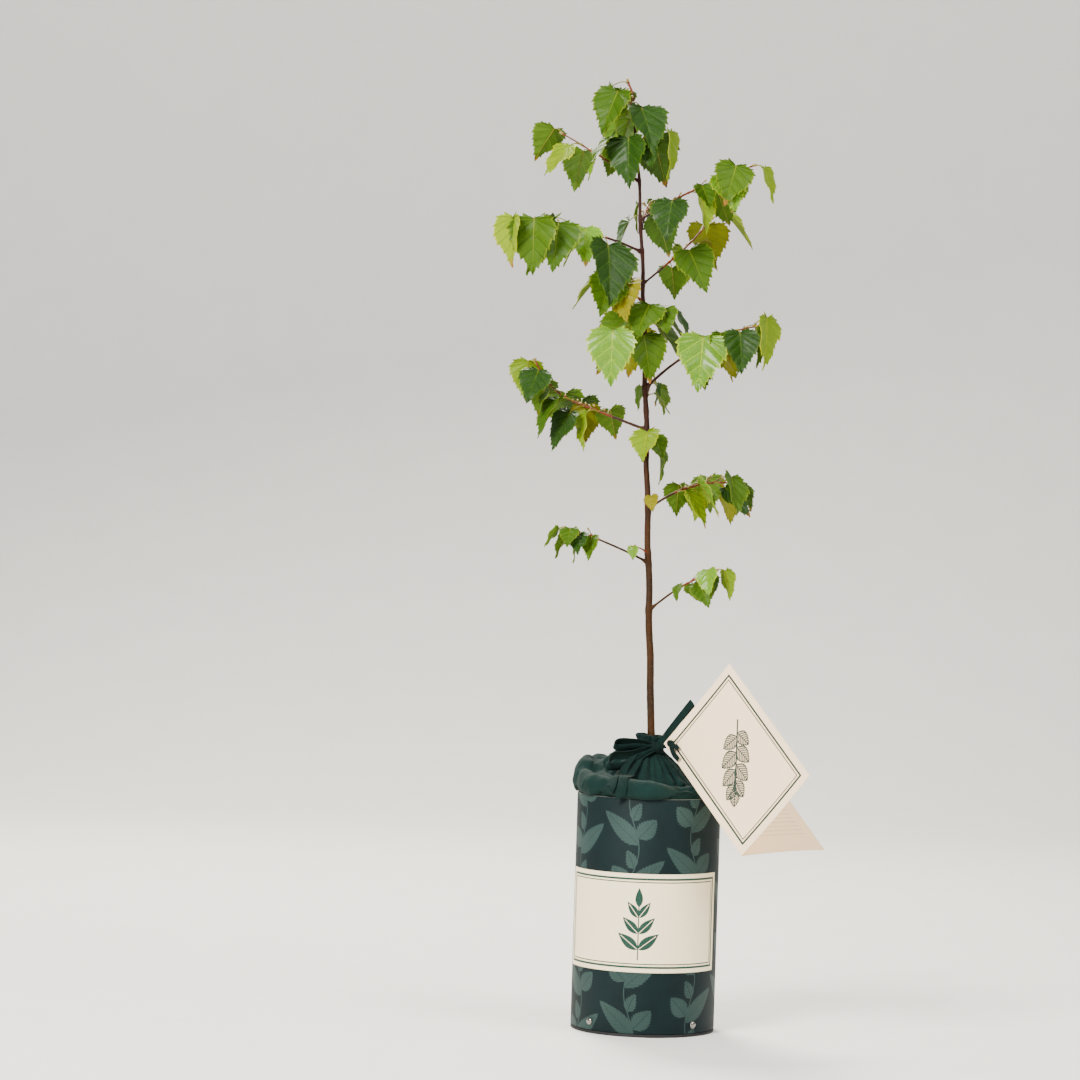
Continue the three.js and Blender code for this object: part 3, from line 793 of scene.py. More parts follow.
# %% Sweeping stems
def swept(name, routes, roundness):
    """One mesh of stems; each route is a list of places and radii in millimetres."""
    bpy.ops.curve.primitive_bezier_curve_add()
    curve = named(name).data
    curve.splines.clear()
    curve.dimensions = "3D"
    curve.bevel_depth = MM
    curve.bevel_resolution = roundness
    curve.use_fill_caps = True
    for route in routes:
        line = curve.splines.new("POLY")
        line.points.add(len(route) - 1)
        for point, (place, radius) in zip(line.points, route):
            point.co = (*(np.asarray(place) * MM), 1.0)
            point.radius = radius
    bpy.ops.object.convert(target="MESH")
    piece = bpy.context.object
    closed(piece)
    rounded(piece, 60)
    return piece


# %% The course of a stem
STEM_STEP = 1.1
STEM_SLIMMING = 0.96
COLLAR = 0.9
COLLAR_REACH = 2.4
NODE_SWELL = 0.3
NODE_REACH = 1.3


def waver(distance, seed, amount):
    """A stem's small changes of direction."""
    return amount * np.array([
        math.sin(distance / 9.7 + seed), math.cos(distance / 12.3 + 2 * seed), 0.0,
    ])


def stem_route(shoot, start, end):
    """The shoot's places and radii from one share of its length to another."""
    route = []
    steps = max(4, round((end - start) * shoot.length / STEM_STEP))
    own = [leaf["share"] for leaf in leaves if leaf["shoot"] is shoot]
    for i in range(steps + 1):
        share = start + (end - start) * i / steps
        distance = share * shoot.length
        radius = shoot.radius(share)
        from_bark = distance - trunk_radius(shoot.start[2])
        radius += COLLAR * shoot.girth / 2 * swelling(from_bark, COLLAR_REACH)
        for node in own:
            radius += NODE_SWELL * swelling((share - node) * shoot.length, NODE_REACH)
        place = shoot.at(share) + waver(distance, shoot.seed, 0.35) * held(distance / 15)
        route.append((place, radius * STEM_SLIMMING))
    return route


# %% Trunk and boughs
TRUNK_STEP = 1.7
TRUNK_SWELL = 0.35
TRUNK_SWELL_REACH = 3.0

trunk_route = []
for height in np.arange(TRUNK_FOOT, TRUNK_TIP + 0.1, TRUNK_STEP):
    radius = trunk_radius(height)
    for shoot in shoots:
        radius += TRUNK_SWELL * swelling(height - shoot.start[2], TRUNK_SWELL_REACH)
    sway = waver(height, 4, 0.45) * held((height - 235) / 60)
    trunk_route.append((trunk_at(height) + sway, radius))
boughs = [stem_route(shoot, 0, shoot.bare + 0.02) for shoot in shoots if shoot.bare]
wood = swept("trunk_and_boughs", [trunk_route] + boughs, 5)
roughened(wood, 3.5, 3, 0.4, 0.5)

# %% Twigs and their buds
SIDE_TWIG_ODDS = 0.45
TIP_BUD = 3.2
TWIG_BUD = 2.6
LEAF_BUD = 2.3

twig_routes = []
bud_places = []
sprout = dice(71)
for shoot in shoots:
    twig_routes.append(stem_route(shoot, shoot.bare, 1.0))
    tip = shoot.at(1.0)
    bud_places.append((tip, tip - shoot.at(0.93), TIP_BUD))
for leaf in leaves:
    # some leaves have a short side twig above their root
    if sprout() < SIDE_TWIG_ODDS and leaf["share"] < 0.9:
        reach = 2.5 + 5 * sprout()
        way = leaf["heading"] * 0.5 + leaf["shoot"].ahead * 0.5 + UP * (0.3 + 0.5 * sprout())
        places = [leaf["root"] + way * reach * share + UP * share**2 for share in np.linspace(0, 1, 6)]
        twig_routes.append([(place, 0.5 - 0.16 * i / 5) for i, place in enumerate(places)])
        bud_places.append((places[-1], way, TWIG_BUD))
    else:
        way = leaf["shoot"].ahead * 0.6 + UP * 0.6 + leaf["heading"] * 0.2
        bud_places.append((leaf["root"] + UP * 0.4, way, LEAF_BUD))
twigs = swept("twigs", twig_routes, 3)
print(len(twig_routes), "twigs,", len(bud_places), "buds")

# %% [markdown]
# A birch bud is a small pointed egg of overlapping scales. One is modelled from a sphere:
# its end is drawn out to a point and steps are pressed in where one scale lies over the next.
# All the buds are copies of it, each turned along its own twig, in one mesh.

# %% Buds
bpy.ops.mesh.primitive_uv_sphere_add(segments=8, ring_count=9, radius=1)
bud = named("bud")
shape_points = points_of(bud)
share = (shape_points[:, 2] + 1) / 2
girth = 0.42 * (1 - 0.45 * share) * (1 + 0.12 * np.sin(share * 19))
shape_points[:, 0] *= girth
shape_points[:, 1] *= girth
shape_points[:, 2] = share
move_points(bud, shape_points)


def copies(name, pattern, frames):
    """One mesh of copies of a pattern piece; a frame is its place, its x, y and z ways and size."""
    base_points = points_of(pattern)
    base_faces = [list(face.vertices) for face in pattern.data.polygons]
    points, faces = [], []
    for i, (place, ways, size) in enumerate(frames):
        points.append((np.asarray(place) + base_points @ np.array(ways) * size) * MM)
        faces += [[corner + i * len(base_points) for corner in face] for face in base_faces]
    removed(pattern)
    return meshed(name, points, faces)


def upright_frame(way):
    ahead = unit(way)
    side = unit(np.cross(ahead, UP if abs(ahead[2]) < 0.9 else np.array([1.0, 0, 0])))
    return [side, np.cross(ahead, side), ahead]


buds = copies("buds", bud, [(place, upright_frame(way), size) for place, way, size in bud_places])
rounded(buds, 50)

# %% Bark
bark = Finish("birch bark", Specular_IOR_Level=0.15)
height = bark.parts(bark.place())[2] / MM
streaks = bark.speckle(0.9, (1, 1, 9), 4.0)
dark = bark.blend(streaks, "170d03", "311c06")
warm = bark.blend(streaks, "1d0f02", "422405")
low = bark.blend(bark.ease(bark.speckle(14, (1, 1, 2.2)), 0.42, 0.6), warm, dark)
high = bark.blend(streaks, "1a0a06", "38170e")
skin = bark.blend(bark.ease(height, 330, 560), low, high)
pore = bark.ease(bark.speckle(1.7, (1, 1, 0.55), kind="Spots"), 0.2, 0.12)
bark.show(
    streaks * 0.22 + pore * 0.18,
    Base_Color=bark.blend(pore * 0.45, skin, "8a7258"), Roughness=0.42 + streaks * 0.3,
)

# %% Twigs and buds
twig_skin = Finish("young twig skin", Specular_IOR_Level=0.18)
mottle = twig_skin.speckle(1.6)
warts = twig_skin.ease(twig_skin.speckle(1.1, kind="Spots"), 0.22, 0.12)
red = twig_skin.blend(mottle, "3a1002", "743004")
twig_skin.show(
    mottle * 0.08 + warts * 0.1,
    Base_Color=twig_skin.blend(warts * 0.3, red, "9a6428"), Roughness=0.36 + mottle * 0.2,
)
bud_scale = grainy(
    "bud scales", (0.8, ALL_WAYS, 2.0), ("5f3f1e", "9a8a34"), 0.3, 0.2, 0.05, Specular_IOR_Level=0.55
)

leaf_nodes = [name for name in nodes if name.startswith("leaves_")]
handed_over(wood, [bark], "bark", "trunk", *[name for name in nodes if name.startswith("bough_")])
handed_over(twigs, [twig_skin], "foliage", *leaf_nodes)
handed_over(buds, [bud_scale], "foliage")

# %% [markdown]
# ## Leaves
#
# A birch leaf is a triangle with rounded shoulders and a drawn-out tip. Straight veins run
# from its midrib to the large teeth, and smaller teeth stand between them. So the blade is
# a grid whose rows follow the veins, six rows to a vein: the last point of each row is moved
# out for a tooth or in for a notch. Upper and lower sides are two layers joined at the edge.

# %% A smooth line through places
def smooth_line(places, count):
    """count + 1 places at even distances along a smooth line through the given ones."""
    given = np.array(places, float)
    padded = np.vstack([2 * given[0] - given[1], given, 2 * given[-1] - given[-2]])
    share = np.linspace(0, 1, 24, endpoint=False)[:, None]
    fine = []
    for a, b, c, d in zip(padded, padded[1:], padded[2:], padded[3:]):
        curve = (3 * b - a - 3 * c + d) * share**3 + (2 * a - 5 * b + 4 * c - d) * share**2
        fine.append((curve + (c - a) * share + 2 * b) / 2)
    fine = np.vstack(fine + [given[-1:]])
    run = run_of(fine)
    return between(np.linspace(0, run[-1], count + 1), run, fine)


# %% The blade's grid
VEINS = 8
ROWS_PER_VEIN = 6
ROWS = VEINS * ROWS_PER_VEIN
SIDE_COLUMNS = 4
EDGE = [(0, 0), (-0.04, 0.19), (0.06, 0.37), (0.28, 0.43), (0.54, 0.31), (0.8, 0.12), (1, 0)]
TOOTH_OUT = [0.046, -0.015, -0.004, 0.016, -0.004, 0.018]
TOOTH_AHEAD = [0.032, 0.0, 0.004, 0.014, 0.0, 0.014]

edge = smooth_line(EDGE, ROWS)
tangent = ways_of(edge)
outward = np.stack([-tangent[:, 1], tangent[:, 0]], 1)
row = np.arange(ROWS + 1)
full = np.clip(np.minimum(row / 4, (ROWS - row) / 5), 0, 1)
out_by = np.take(TOOTH_OUT, row % ROWS_PER_VEIN) * full
ahead_by = np.take(TOOTH_AHEAD, row % ROWS_PER_VEIN) * full
toothed = edge + outward * out_by[:, None] + tangent * ahead_by[:, None]
lean_back = edge[:, 0] - 0.85 * edge[:, 1]
rib_at = np.maximum.accumulate((lean_back + np.sqrt(lean_back**2 + 0.0016)) / 2)
rib_at[0], rib_at[-1] = 0, 1

column = np.arange(-SIDE_COLUMNS, SIDE_COLUMNS + 1)
reach = np.abs(column) / SIDE_COLUMNS
GRID_SHARE = rib_at[:, None] + (toothed[:, 0] - rib_at)[:, None] * reach
GRID_ASIDE = toothed[:, 1][:, None] * reach * np.sign(column)
GRID_VEIN = np.repeat((row / ROWS_PER_VEIN)[:, None], len(column), 1)
GRID_REACH = np.repeat(reach[None], ROWS + 1, 0)
print("blade grid", GRID_SHARE.shape)


# %% Growing one blade
BLADE_THICK = 0.24
FULL_TURN = 6.28


def blade(leaf, roll):
    """The points of a leaf, its upper layer first, then its lower one."""
    fold = LEAF_FOLD * (0.6 + 0.9 * roll())
    phase, ripple, cup = FULL_TURN * roll(), 0.018 + 0.022 * roll(), 0.10 * (roll() - 0.4)
    quilt = 0.017 * np.sin(math.pi * GRID_VEIN) ** 2 * 4 * GRID_REACH * (1 - GRID_REACH)
    waves = ripple * np.sin(GRID_VEIN * 2.1 + phase + (GRID_ASIDE > 0)) * GRID_REACH**2
    soft_fold = fold * (np.sqrt(GRID_ASIDE**2 + 0.0006) - 0.0245) - LEAF_FOLD * np.abs(GRID_ASIDE)
    lift = quilt + waves + soft_fold - cup * GRID_ASIDE**2 * 4
    half = BLADE_THICK / 2 / leaf["length"]
    layers = [on_blade(leaf, GRID_SHARE, GRID_ASIDE, lift + way * half) for way in (1, -1)]
    return np.concatenate([layer.reshape(-1, 3) for layer in layers])


def blade_faces():
    wide = len(column)
    below = (ROWS + 1) * wide
    faces = []
    for r in range(ROWS):
        for c in range(wide - 1):
            a, b = r * wide + c, (r + 1) * wide + c
            faces.append((a, b, b + 1, a + 1))
            faces.append((a + below, a + 1 + below, b + 1 + below, b + below))
        left, right = r * wide, r * wide + wide - 1
        faces.append((left, left + below, left + wide + below, left + wide))
        faces.append((right, right + wide, right + wide + below, right + below))
    return np.array(faces)


BLADE_FACES = blade_faces()
BLADE_POINTS = 2 * GRID_SHARE.size
print("one blade:", len(BLADE_FACES), "faces")

# %% [markdown]
# Colours are dealt out by spray, and three of the five are painted light and shade. The outer
# leaves are painted yellow-green for the light that shines through them, the inner ones a
# deeper painted shade, the upper faces of some a brighter painted sky reflection besides
# their gloss, and a few have begun to turn. In the table of shoots each letter under tints
# is one leaf, counted from the trunk out: d is deep (painted shade), m mid, l lit (painted
# light through the leaf), p pale and bright (painted sky reflection), b turning brown.

# %% Leaves as meshes
TINTS = "dmlpb"


def tint_of(leaf):
    letters = leaf["shoot"].tints
    return TINTS.index(letters[leaf["place"] % len(letters)])


def leaf_mesh(name, chosen, seed):
    roll = dice(seed)
    points, tones = [], []
    for leaf in chosen:
        points.append(blade(leaf, roll) * MM)
        tones.append(roll())
    faces = np.concatenate([BLADE_FACES + i * BLADE_POINTS for i in range(len(chosen))])
    piece = meshed(name, points, faces.tolist())
    mesh = piece.data
    tints = np.repeat([tint_of(leaf) for leaf in chosen], len(BLADE_FACES))
    mesh.polygons.foreach_set("material_index", tints)
    corner = np.empty(len(mesh.loops), dtype=int)
    mesh.loops.foreach_get("vertex_index", corner)
    own, which = corner % BLADE_POINTS, corner // BLADE_POINTS
    grid, under = own % GRID_SHARE.size, own // GRID_SHARE.size
    for layer, u, v in (
        ("veins", GRID_VEIN.ravel()[grid], GRID_REACH.ravel()[grid]),
        ("tone", np.array(tones)[which] * 0.98 + under, GRID_SHARE.ravel()[grid]),
    ):
        uv = mesh.uv_layers.new(name=layer)
        uv.data.foreach_set("uv", np.stack([u, v], 1).ravel())
    closed(piece, 0.001, outwards=False)
    rounded(piece, 60)
    return piece


CROWN_FROM = 560
upper = [leaf for leaf in leaves if leaf["shoot"].start[2] > CROWN_FROM]
lower = [leaf for leaf in leaves if leaf["shoot"].start[2] <= CROWN_FROM]
crown_leaves = leaf_mesh("leaves_of_the_crown", upper, 5)
side_leaves = leaf_mesh("leaves_of_the_lower_shoots", lower, 6)

# %% [markdown]
# A leaf hangs on a stalk that bows out of the twig and runs on as the midrib, which stands
# out on the underside. Both are one swept stem that thins towards the leaf's tip.

# %% Stalks and midribs
STALK_RADIUS = 0.52
STALK_TAPER = 0.016
RIB_RADIUS = 0.36
RIB_TAPER = 0.036
RIB_SHARES = (0.06, 0.2, 0.35, 0.5, 0.65, 0.8, 0.9)
RIB_DEPTH = 0.16

stalk_routes = []
for leaf in leaves:
    start, foot = leaf["root"], leaf["foot"]
    bow = (start + foot) / 2 + UP * 0.12 * leaf["stalk"]
    neck = smooth_line([start, bow, foot, on_blade(leaf, 0.12, 0.0)], 9)[:8]
    ribs = [on_blade(leaf, share, 0.0, -RIB_DEPTH / leaf["length"]) for share in RIB_SHARES]
    route = [(place, STALK_RADIUS - STALK_TAPER * i) for i, place in enumerate(neck)]
    route += [(place, RIB_RADIUS - RIB_TAPER * i) for i, place in enumerate(ribs)]
    stalk_routes.append(route)
stalks = swept("leaf_stalks", stalk_routes, 1)


# %% Leaf finish
def leaf_finish(name, body, shade, vein, rim_glow_and_midrib, gloss):
    finish = Finish(name, Specular_IOR_Level=0.12 + 0.5 * gloss, Coat_Roughness=0.22, Coat_Weight=gloss)
    count, reach, _ = finish.uv("veins")
    tone, share, _ = finish.uv("tone")
    under = tone > 0.99
    own = tone.fraction()
    side_vein = inked(0.075 - count.from_whole(), 0.05)
    midrib = inked(0.045 - reach, 0.03)
    crinkle = finish.speckle(2.6, detail=2.0)
    between = finish.ease(finish.speckle(1.15, kind="Cells"), 0.0, 0.16)
    mottle = finish.speckle(7)
    flesh = finish.blend((own * 0.6 + mottle * 0.6 - 0.1).clamped(), shade, body)
    netted = finish.blend((1 - between) * 0.4, flesh, vein)
    ribbed = finish.blend(side_vein * 0.5, netted, vein)
    spined = finish.blend(midrib * 0.4, ribbed, rim_glow_and_midrib)
    # painted light: the leaf's edge is lightened to the rim colour, for a backlit glow; the midrib above
    # takes the same paler colour, which it really has
    painted_rim_glow = finish.blend(finish.ease(reach, 0.9, 1.0) * 0.55, spined, rim_glow_and_midrib)
    scorch = finish.ease(share + mottle * 0.35, 1.02, 1.14) * (own > 0.72)
    upper_side = finish.blend(scorch, painted_rim_glow, "8a5a1c")
    sunk = side_vein.most(midrib) * (0.2 - under * 0.45)
    finish.show(
        between * 0.09 + crinkle * 0.5 - sunk,
        Base_Color=finish.blend(under, upper_side, finish.blend(0.3, upper_side, "506c16")),
        Roughness=0.46 - 0.2 * gloss + mottle * 0.12 + under * 0.2,
    )
    return finish


# the deep, lit and bright face rows paint shade, light shining through and sky reflection into their colours
leaf_finishes = [leaf_finish(*row) for row in (
    ("leaf deep green, painted shade", "1a3900", "0e2600", "365a06", "4e6602", 0.08),
    ("leaf mid green", "466200", "2e4c00", "243e00", "7e8c03", 0.03),
    ("leaf lit green", "809600", "5e7800", "4a6808", "bab802", 0.03),
    ("leaf bright face, painted sky reflection", "588c00", "305c00", "90ae0c", "aebc06", 0.28),
    ("leaf turning", "867600", "666600", "4e6000", "8c6204", 0.03),
)]
crown_nodes = [name for name in leaf_nodes if name[7:] in {leaf["shoot"].name for leaf in upper}]
side_nodes = [name for name in leaf_nodes if name not in crown_nodes]
handed_over(crown_leaves, leaf_finishes, "foliage", *crown_nodes)
handed_over(side_leaves, leaf_finishes, "foliage", *side_nodes)

# %% Stalk finish
stalk_skin = Finish("leaf stalk", Specular_IOR_Level=0.3)
blush = stalk_skin.speckle(9, detail=2.0)
streak = stalk_skin.speckle(0.6, (1, 1, 4), 2.0)
red_side = stalk_skin.blend(streak, "622a06", "80560c")
stalk_skin.show(
    streak * 0.04,
    Base_Color=stalk_skin.blend(blush, "68800e", red_side), Roughness=0.38 + streak * 0.15,
)
handed_over(stalks, [stalk_skin], "foliage")

# %% [markdown]
# ## Compost
#
# The root ball fills the bag and can't be seen, but it is finished like what shows. Its CAD
# solid has the right shape, so it only gets a better material.

# %% Compost
compost = Finish("moist compost", Specular_IOR_Level=0.3)
crumb = compost.speckle(4, kind="Spots")
grit = compost.speckle(1.2, detail=5.0)
flecks = compost.ease(compost.speckle(5.5, kind="Spots"), 0.16, 0.1)
soil = compost.blend(grit, "1d130c", "463222")
compost.show(
    crumb * 1.4 + grit * 0.8,
    Base_Color=compost.blend(flecks * 0.6, soil, "9b8d78"), Roughness=0.8 + grit * 0.15,
)
nodes["root_ball"].data.materials.clear()
nodes["root_ball"].data.materials.append(compost.material)

# %% [markdown]
# ## Cotton bag
#
# The bag lines the tube, rolls over its rim and is drawn in round the stem, so it is one
# sheet: a grid laid from its hem inside the rim, over the roll and up to the frill above the
# tie. Cloth that is drawn in must go somewhere, so the slope is gathered in pleats, shallow
# at the roll and tight at the neck, and the roll itself sags into a few soft dents.

# %% The bag's slope
SLOPE_LOW = 190
# radius and height of places along the cloth, from its hem to its frill
BAG_LINE = smooth_line([
    (51.0, 150), (51.2, 172), (52.2, 179.6), (54.4, 181.4), (56.6, 181.0), (58.3, 183.6), (58.2, 187.6),
    (55.6, 191.4), (51.4, 192.9), (47.2, 191.4), (43, 189.2), (38.5, 188.8), (33, 191.2), (27, 196.2),
    (20.5, 202.0), (15, 206.8),
    (10.4, 211), (8.6, 213.6), (8.0, 217), (8.3, 220.5), (9.4, 223.4), (9.9, 225.4),
], 100)
BAG_RUN, BAG_WAYS = run_of(BAG_LINE), ways_of(BAG_LINE)
HEM_ENDS = BAG_RUN[12]
# how high one broad fold stands, at these radii
FOLD_RISE = [(9.5, 0), (15, 5.0), (26, 12), (38, 15.5), (46, 13.5), (52, 10), (57.6, 5.5), (58.5, 1.5)]
BAG_LEAN = 0.3
BAG_LEANS_TO = 170
FOLD_AT = 150
FOLD_SPREAD = 45
fold_dice = dice(23)
PLEAT_PHASES = [FULL_TURN * fold_dice() for _ in range(8)]
# each dent's azimuth, radius, width in degrees, width in millimetres and depth
DENTS = [(-62, 56, 13, 7, 5.5), (-128, 57, 10, 5, 3.0), (-141, 47, 24, 4, 3.6), (-98, 50, 13, 4, 1.6),
         (186, 52, 7, 9, 3.0), (155, 45, 6, 14, 3.2), (128, 50, 8, 12, 2.6), (30, 56, 15, 7, 3.6),
         (95, 55, 18, 7, 3.0), (-20, 52, 12, 6, 2.6), (70, 52, 10, 6, 2.0)]


def turned_by(azimuth, middle):
    return (azimuth - middle + 180) % 360 - 180


def pleats(azimuth, radius, height):
    """How far the cloth stands out of its plain slope."""
    turn = math.radians(azimuth)
    drift = 0.5 * math.sin(2 * turn + PLEAT_PHASES[0]) + 0.35 * math.sin(5 * turn + PLEAT_PHASES[1])
    tight = 1.5 * abs(math.cos(7 * turn + 2.0 * drift)) ** 0.6 + 0.35 * math.cos(27 * turn + PLEAT_PHASES[2])
    broad = math.cos(9 * turn + 2 * drift + PLEAT_PHASES[3]) + 0.7 * math.cos(5 * turn + PLEAT_PHASES[4])
    inner, gather = held((50 - radius) / 22), held((radius - 7) / 12)
    on_slope = 1.0 if height > SLOPE_LOW else 0.0
    frill = max(0.0, (height - 219) / 7)
    lift = on_slope * inner * (2.1 * gather + 0.4) * (tight - 0.85)
    lift += on_slope * 0.7 * broad * held(1 - abs(radius - 38) / 18)
    lift += frill * 1.2 * math.cos(8 * turn + PLEAT_PHASES[5])
    if radius > 34 and height > 181:
        lift += 0.8 * math.sin(3 * turn + PLEAT_PHASES[6]) + 0.5 * math.sin(7 * turn + PLEAT_PHASES[7])
        for middle, distance, wide, deep, depth in DENTS:
            away = turned_by(azimuth, middle)
            lift -= depth * swelling(away, wide) * swelling(radius - distance, deep)
    return lift


def on_bag(azimuth, run, stand_off=0.0):
    """A place on the cloth: run is the distance along its line, from the hem."""
    radius, height = between(run, BAG_RUN, BAG_LINE)
    ahead_r, ahead_z = between(run, BAG_RUN, BAG_WAYS)
    plain = radius
    lift = pleats(azimuth, radius, height) + stand_off
    radius = radius + ahead_z * lift
    height = height - ahead_r * lift
    if height > TUBE_TOP + 1 and plain > 8 and run > HEM_ENDS:
        lean = BAG_LEAN * math.cos(math.radians(azimuth - BAG_LEANS_TO))
        height += (height - TUBE_TOP) * lean * held((plain - 7.6) / 41)
        rise = np.interp(plain, *zip(*FOLD_RISE)) * swelling(turned_by(azimuth, FOLD_AT), FOLD_SPREAD)
        height += rise * held((height - 184) / 6)
    return polar(azimuth, radius, height)


bag = laid("cotton_bag", 330, 104, lambda u, v: on_bag(360 * u, v * BAG_RUN[-1]))
cloth = points_of(bag) / MM
over_compost = (np.hypot(cloth[:, 0], cloth[:, 1]) < 50) & (cloth[:, 2] > TUBE_TOP + 1)
print("the cloth clears the compost by", round(cloth[over_compost, 2].min() - TRUNK_FOOT, 1), "mm")
closed(bag)
roughened(bag, 17, 2, 2.4, 0.4, "HARD_NOISE")
thickened(bag, 0.7, -1)
rounded(bag, 80)


# %% Cotton
def woven(name, wide, tall, thread, dark, light, nap, sheen):
    """Plain weave on a piece whose flat layout is wide by tall millimetres."""
    finish = Finish(name, Specular_IOR_Level=0.12, Sheen_Weight=sheen, Sheen_Roughness=0.45)
    u, v, _ = finish.uv("UVMap")
    over = (u * (wide * math.pi / thread)).sine() * (v * (tall * math.pi / thread)).sine()
    slub = finish.speckle(thread * 2.2, (1, 1, 3), detail=2.0)
    soft = finish.speckle(nap)
    shade = (soft * 0.7 + slub * 0.3 + over * 0.12).clamped()
    finish.show(
        over * thread * 0.16 + slub * 0.08,
        Base_Color=finish.blend(shade, dark, light), Roughness=0.78 + slub * 0.14,
    )
    return finish


cotton = woven("dark green cotton", 2 * math.pi * 50, BAG_RUN[-1], 0.42, "03110f", "102d29", 16, 0.02)
handed_over(bag, [cotton], "cotton", "bag")

# %% [markdown]
# ## Tied tape
#
# A flat woven tape goes round the neck and is tied in a bow. Each strand is a strip laid
# along a smooth line, with its width held square to a given direction. It is a little
# crowned across, because tape that bends lengthwise cups.

# %% Laying a tape
TAPE_WIDE = 6.4
TAPE_STEPS = 60
KNOT = np.array([3, -11.5, 216.0])


def tape(name, places, width_way, wide=TAPE_WIDE, crown=0.5, turn_by=0.0, cut=0.0):
    line = smooth_line(places, TAPE_STEPS)
    ways = ways_of(line)
    steps = np.arange(TAPE_STEPS + 1)

    def place(u, v):
        at = v * TAPE_STEPS - cut * u * v**9
        middle, way = between(at, steps, line), between(at, steps, ways)
        across = unit(np.asarray(width_way) - way * np.dot(width_way, way))
        across = turned(across, way, math.radians(turn_by) * v)
        return middle + across * (u - 0.5) * wide + np.cross(way, across) * crown * (1 - (2 * u - 1) ** 2)

    piece = laid(name, 6, 90, place)
    thickened(piece, 0.6, 0)
    bevelled(piece, 0.16, 2)
    rounded(piece, 60)
    return piece


def beside_of(azimuth):
    return polar(azimuth + 90, 1, 0)


def over_bag(azimuth, radius, lift):
    """A place over the bag's slope, inside its roll."""
    slope = BAG_LINE[:, 1] > SLOPE_LOW
    run = np.interp(-radius, -BAG_LINE[slope, 0], BAG_RUN[slope])
    return on_bag(azimuth, run, lift)


# %% Bow
def bow_loop(name, azimuth, reach, low, high, tip, flatness):
    """A loop that leaves the knot, turns at its tip and comes back under itself."""
    out = lambda share, height: KNOT + polar(azimuth, reach * share, height)
    return tape(name, [
        KNOT, out(0.25, high * 0.8), out(0.6, high + tip * 0.2), out(0.9, (high + tip) / 2 + 1.5),
        out(1.0, tip), out(0.88, tip - 2.0), out(0.5, (low + tip) / 2), out(0.22, low * 0.5), KNOT - 1.5 * UP,
    ], beside_of(azimuth) * flatness + UP, wide=7.0, crown=0.9)


ROLL_EDGE = BAG_RUN[np.argmax(BAG_LINE[:, 0])]


def bow_tail(name, azimuth, drop, swing, turn_by, cut):
    """A strand over the slope and the roll, which swings aside and ends in a slanting cut."""
    rolled = [over_bag(azimuth - 4 + radius / 8, radius, lift) for radius, lift in (
        (16, 4.0), (24, 6.0), (33, 7.0), (42, 6.0), (50, 2.6), (54, 2.2)
    )]
    edge = on_bag(azimuth + 4, ROLL_EDGE + 1.5, 2.4)
    outside = max(TUBE_RADIUS + 3.5, math.hypot(edge[0], edge[1]) - 0.6)
    fall = edge[2] - (TUBE_TOP - drop)
    end = [polar(azimuth + 4 - swing * share, outside, edge[2] - fall * share) for share in (0.5, 1)]
    return tape(name, [KNOT, *rolled, edge, *end], beside_of(azimuth), wide=7.2, turn_by=turn_by, cut=cut)


strands = [
    bow_loop("bow_loop_long", 208, 40, -11, -3, -12, 0.5),
    bow_loop("bow_loop_short", 188, 31, 0, 4, 1.5, 0.9),
    bow_tail("bow_tail_left", 236, -2, 10, 14, 5),
    bow_tail("bow_tail_right", 244.5, 3, 2, -10, 5),
]

# %% Knot and neck tie
def pulled_knot(name, middle, size):
    """A ball with the creases that a pulled knot of tape has."""
    bpy.ops.mesh.primitive_uv_sphere_add(segments=40, ring_count=24, radius=1)
    piece = named(name)
    ball = points_of(piece)
    turn = np.arctan2(ball[:, 1], ball[:, 0])
    creases = 1 + 0.09 * np.cos(7 * turn + 3 * ball[:, 2]) - 0.12 * np.exp(-((ball[:, 0] / 0.22) ** 2))
    ball *= creases[:, None] * np.array(size)
    move_points(piece, (ball + middle) * MM)
    rounded(piece, 80)
    return piece


knot = pulled_knot("bow_knot", KNOT, (5.2, 4.0, 4.7))

NECK_RADIUS = 8.8
TIE_FOOT = 214
TIE_WIDE = 5.4


def round_neck(u, v):
    """A place on the tie, which is crimped by the gathers and crowned across."""
    out = 0.35 * math.cos(14 * 2 * math.pi * u) + 0.5 * (1 - (2 * v - 1) ** 2)
    return polar(360 * u, NECK_RADIUS + out, TIE_FOOT + TIE_WIDE * v)


neck_tie = laid("neck_tie", 120, 8, round_neck)
closed(neck_tie)
thickened(neck_tie, 0.7, 1)
rounded(neck_tie, 70)

# %% [markdown]
# ## Gift card
#
# The card is one sheet folded on a spine that runs down from the neck, opened by about a
# right angle. Each half is a grid with a slight bow, because paper hung by a corner never
# stays flat. A hole near the corner takes the tape, cut with a Boolean modifier.

# %% The card's directions
CARD_CORNER = np.array([9.4, -18, 220.0])
CARD_LONG = 118
CARD_WIDE = 86
SPINE_TURN = -48.8
SPINE_FALL = math.radians(41.3)
FRONT_TURN = 81.7
BACK_TURN = 1.4
HOLE_IN = 6

spine = polar(SPINE_TURN, math.cos(SPINE_FALL), -math.sin(SPINE_FALL))
level = unit(np.cross(UP, spine))
front_edge = turned(level, spine, math.radians(FRONT_TURN))
back_edge = turned(level, spine, math.radians(BACK_TURN))
front_facing = np.cross(spine, front_edge)
hole_at = CARD_CORNER + HOLE_IN * front_edge + HOLE_IN * spine
print("card opened by", round(FRONT_TURN - BACK_TURN), "degrees")


def card_half(name, edge, bow):
    facing = np.cross(edge, spine)

    def place(u, v):
        curve = bow * 4 * u * (1 - u) * (0.6 + 0.4 * v)
        return CARD_CORNER + edge * CARD_WIDE * u + spine * CARD_LONG * v + facing * curve

    half = laid(name, 28, 36, place)
    thickened(half, 0.5, 0)
    return half


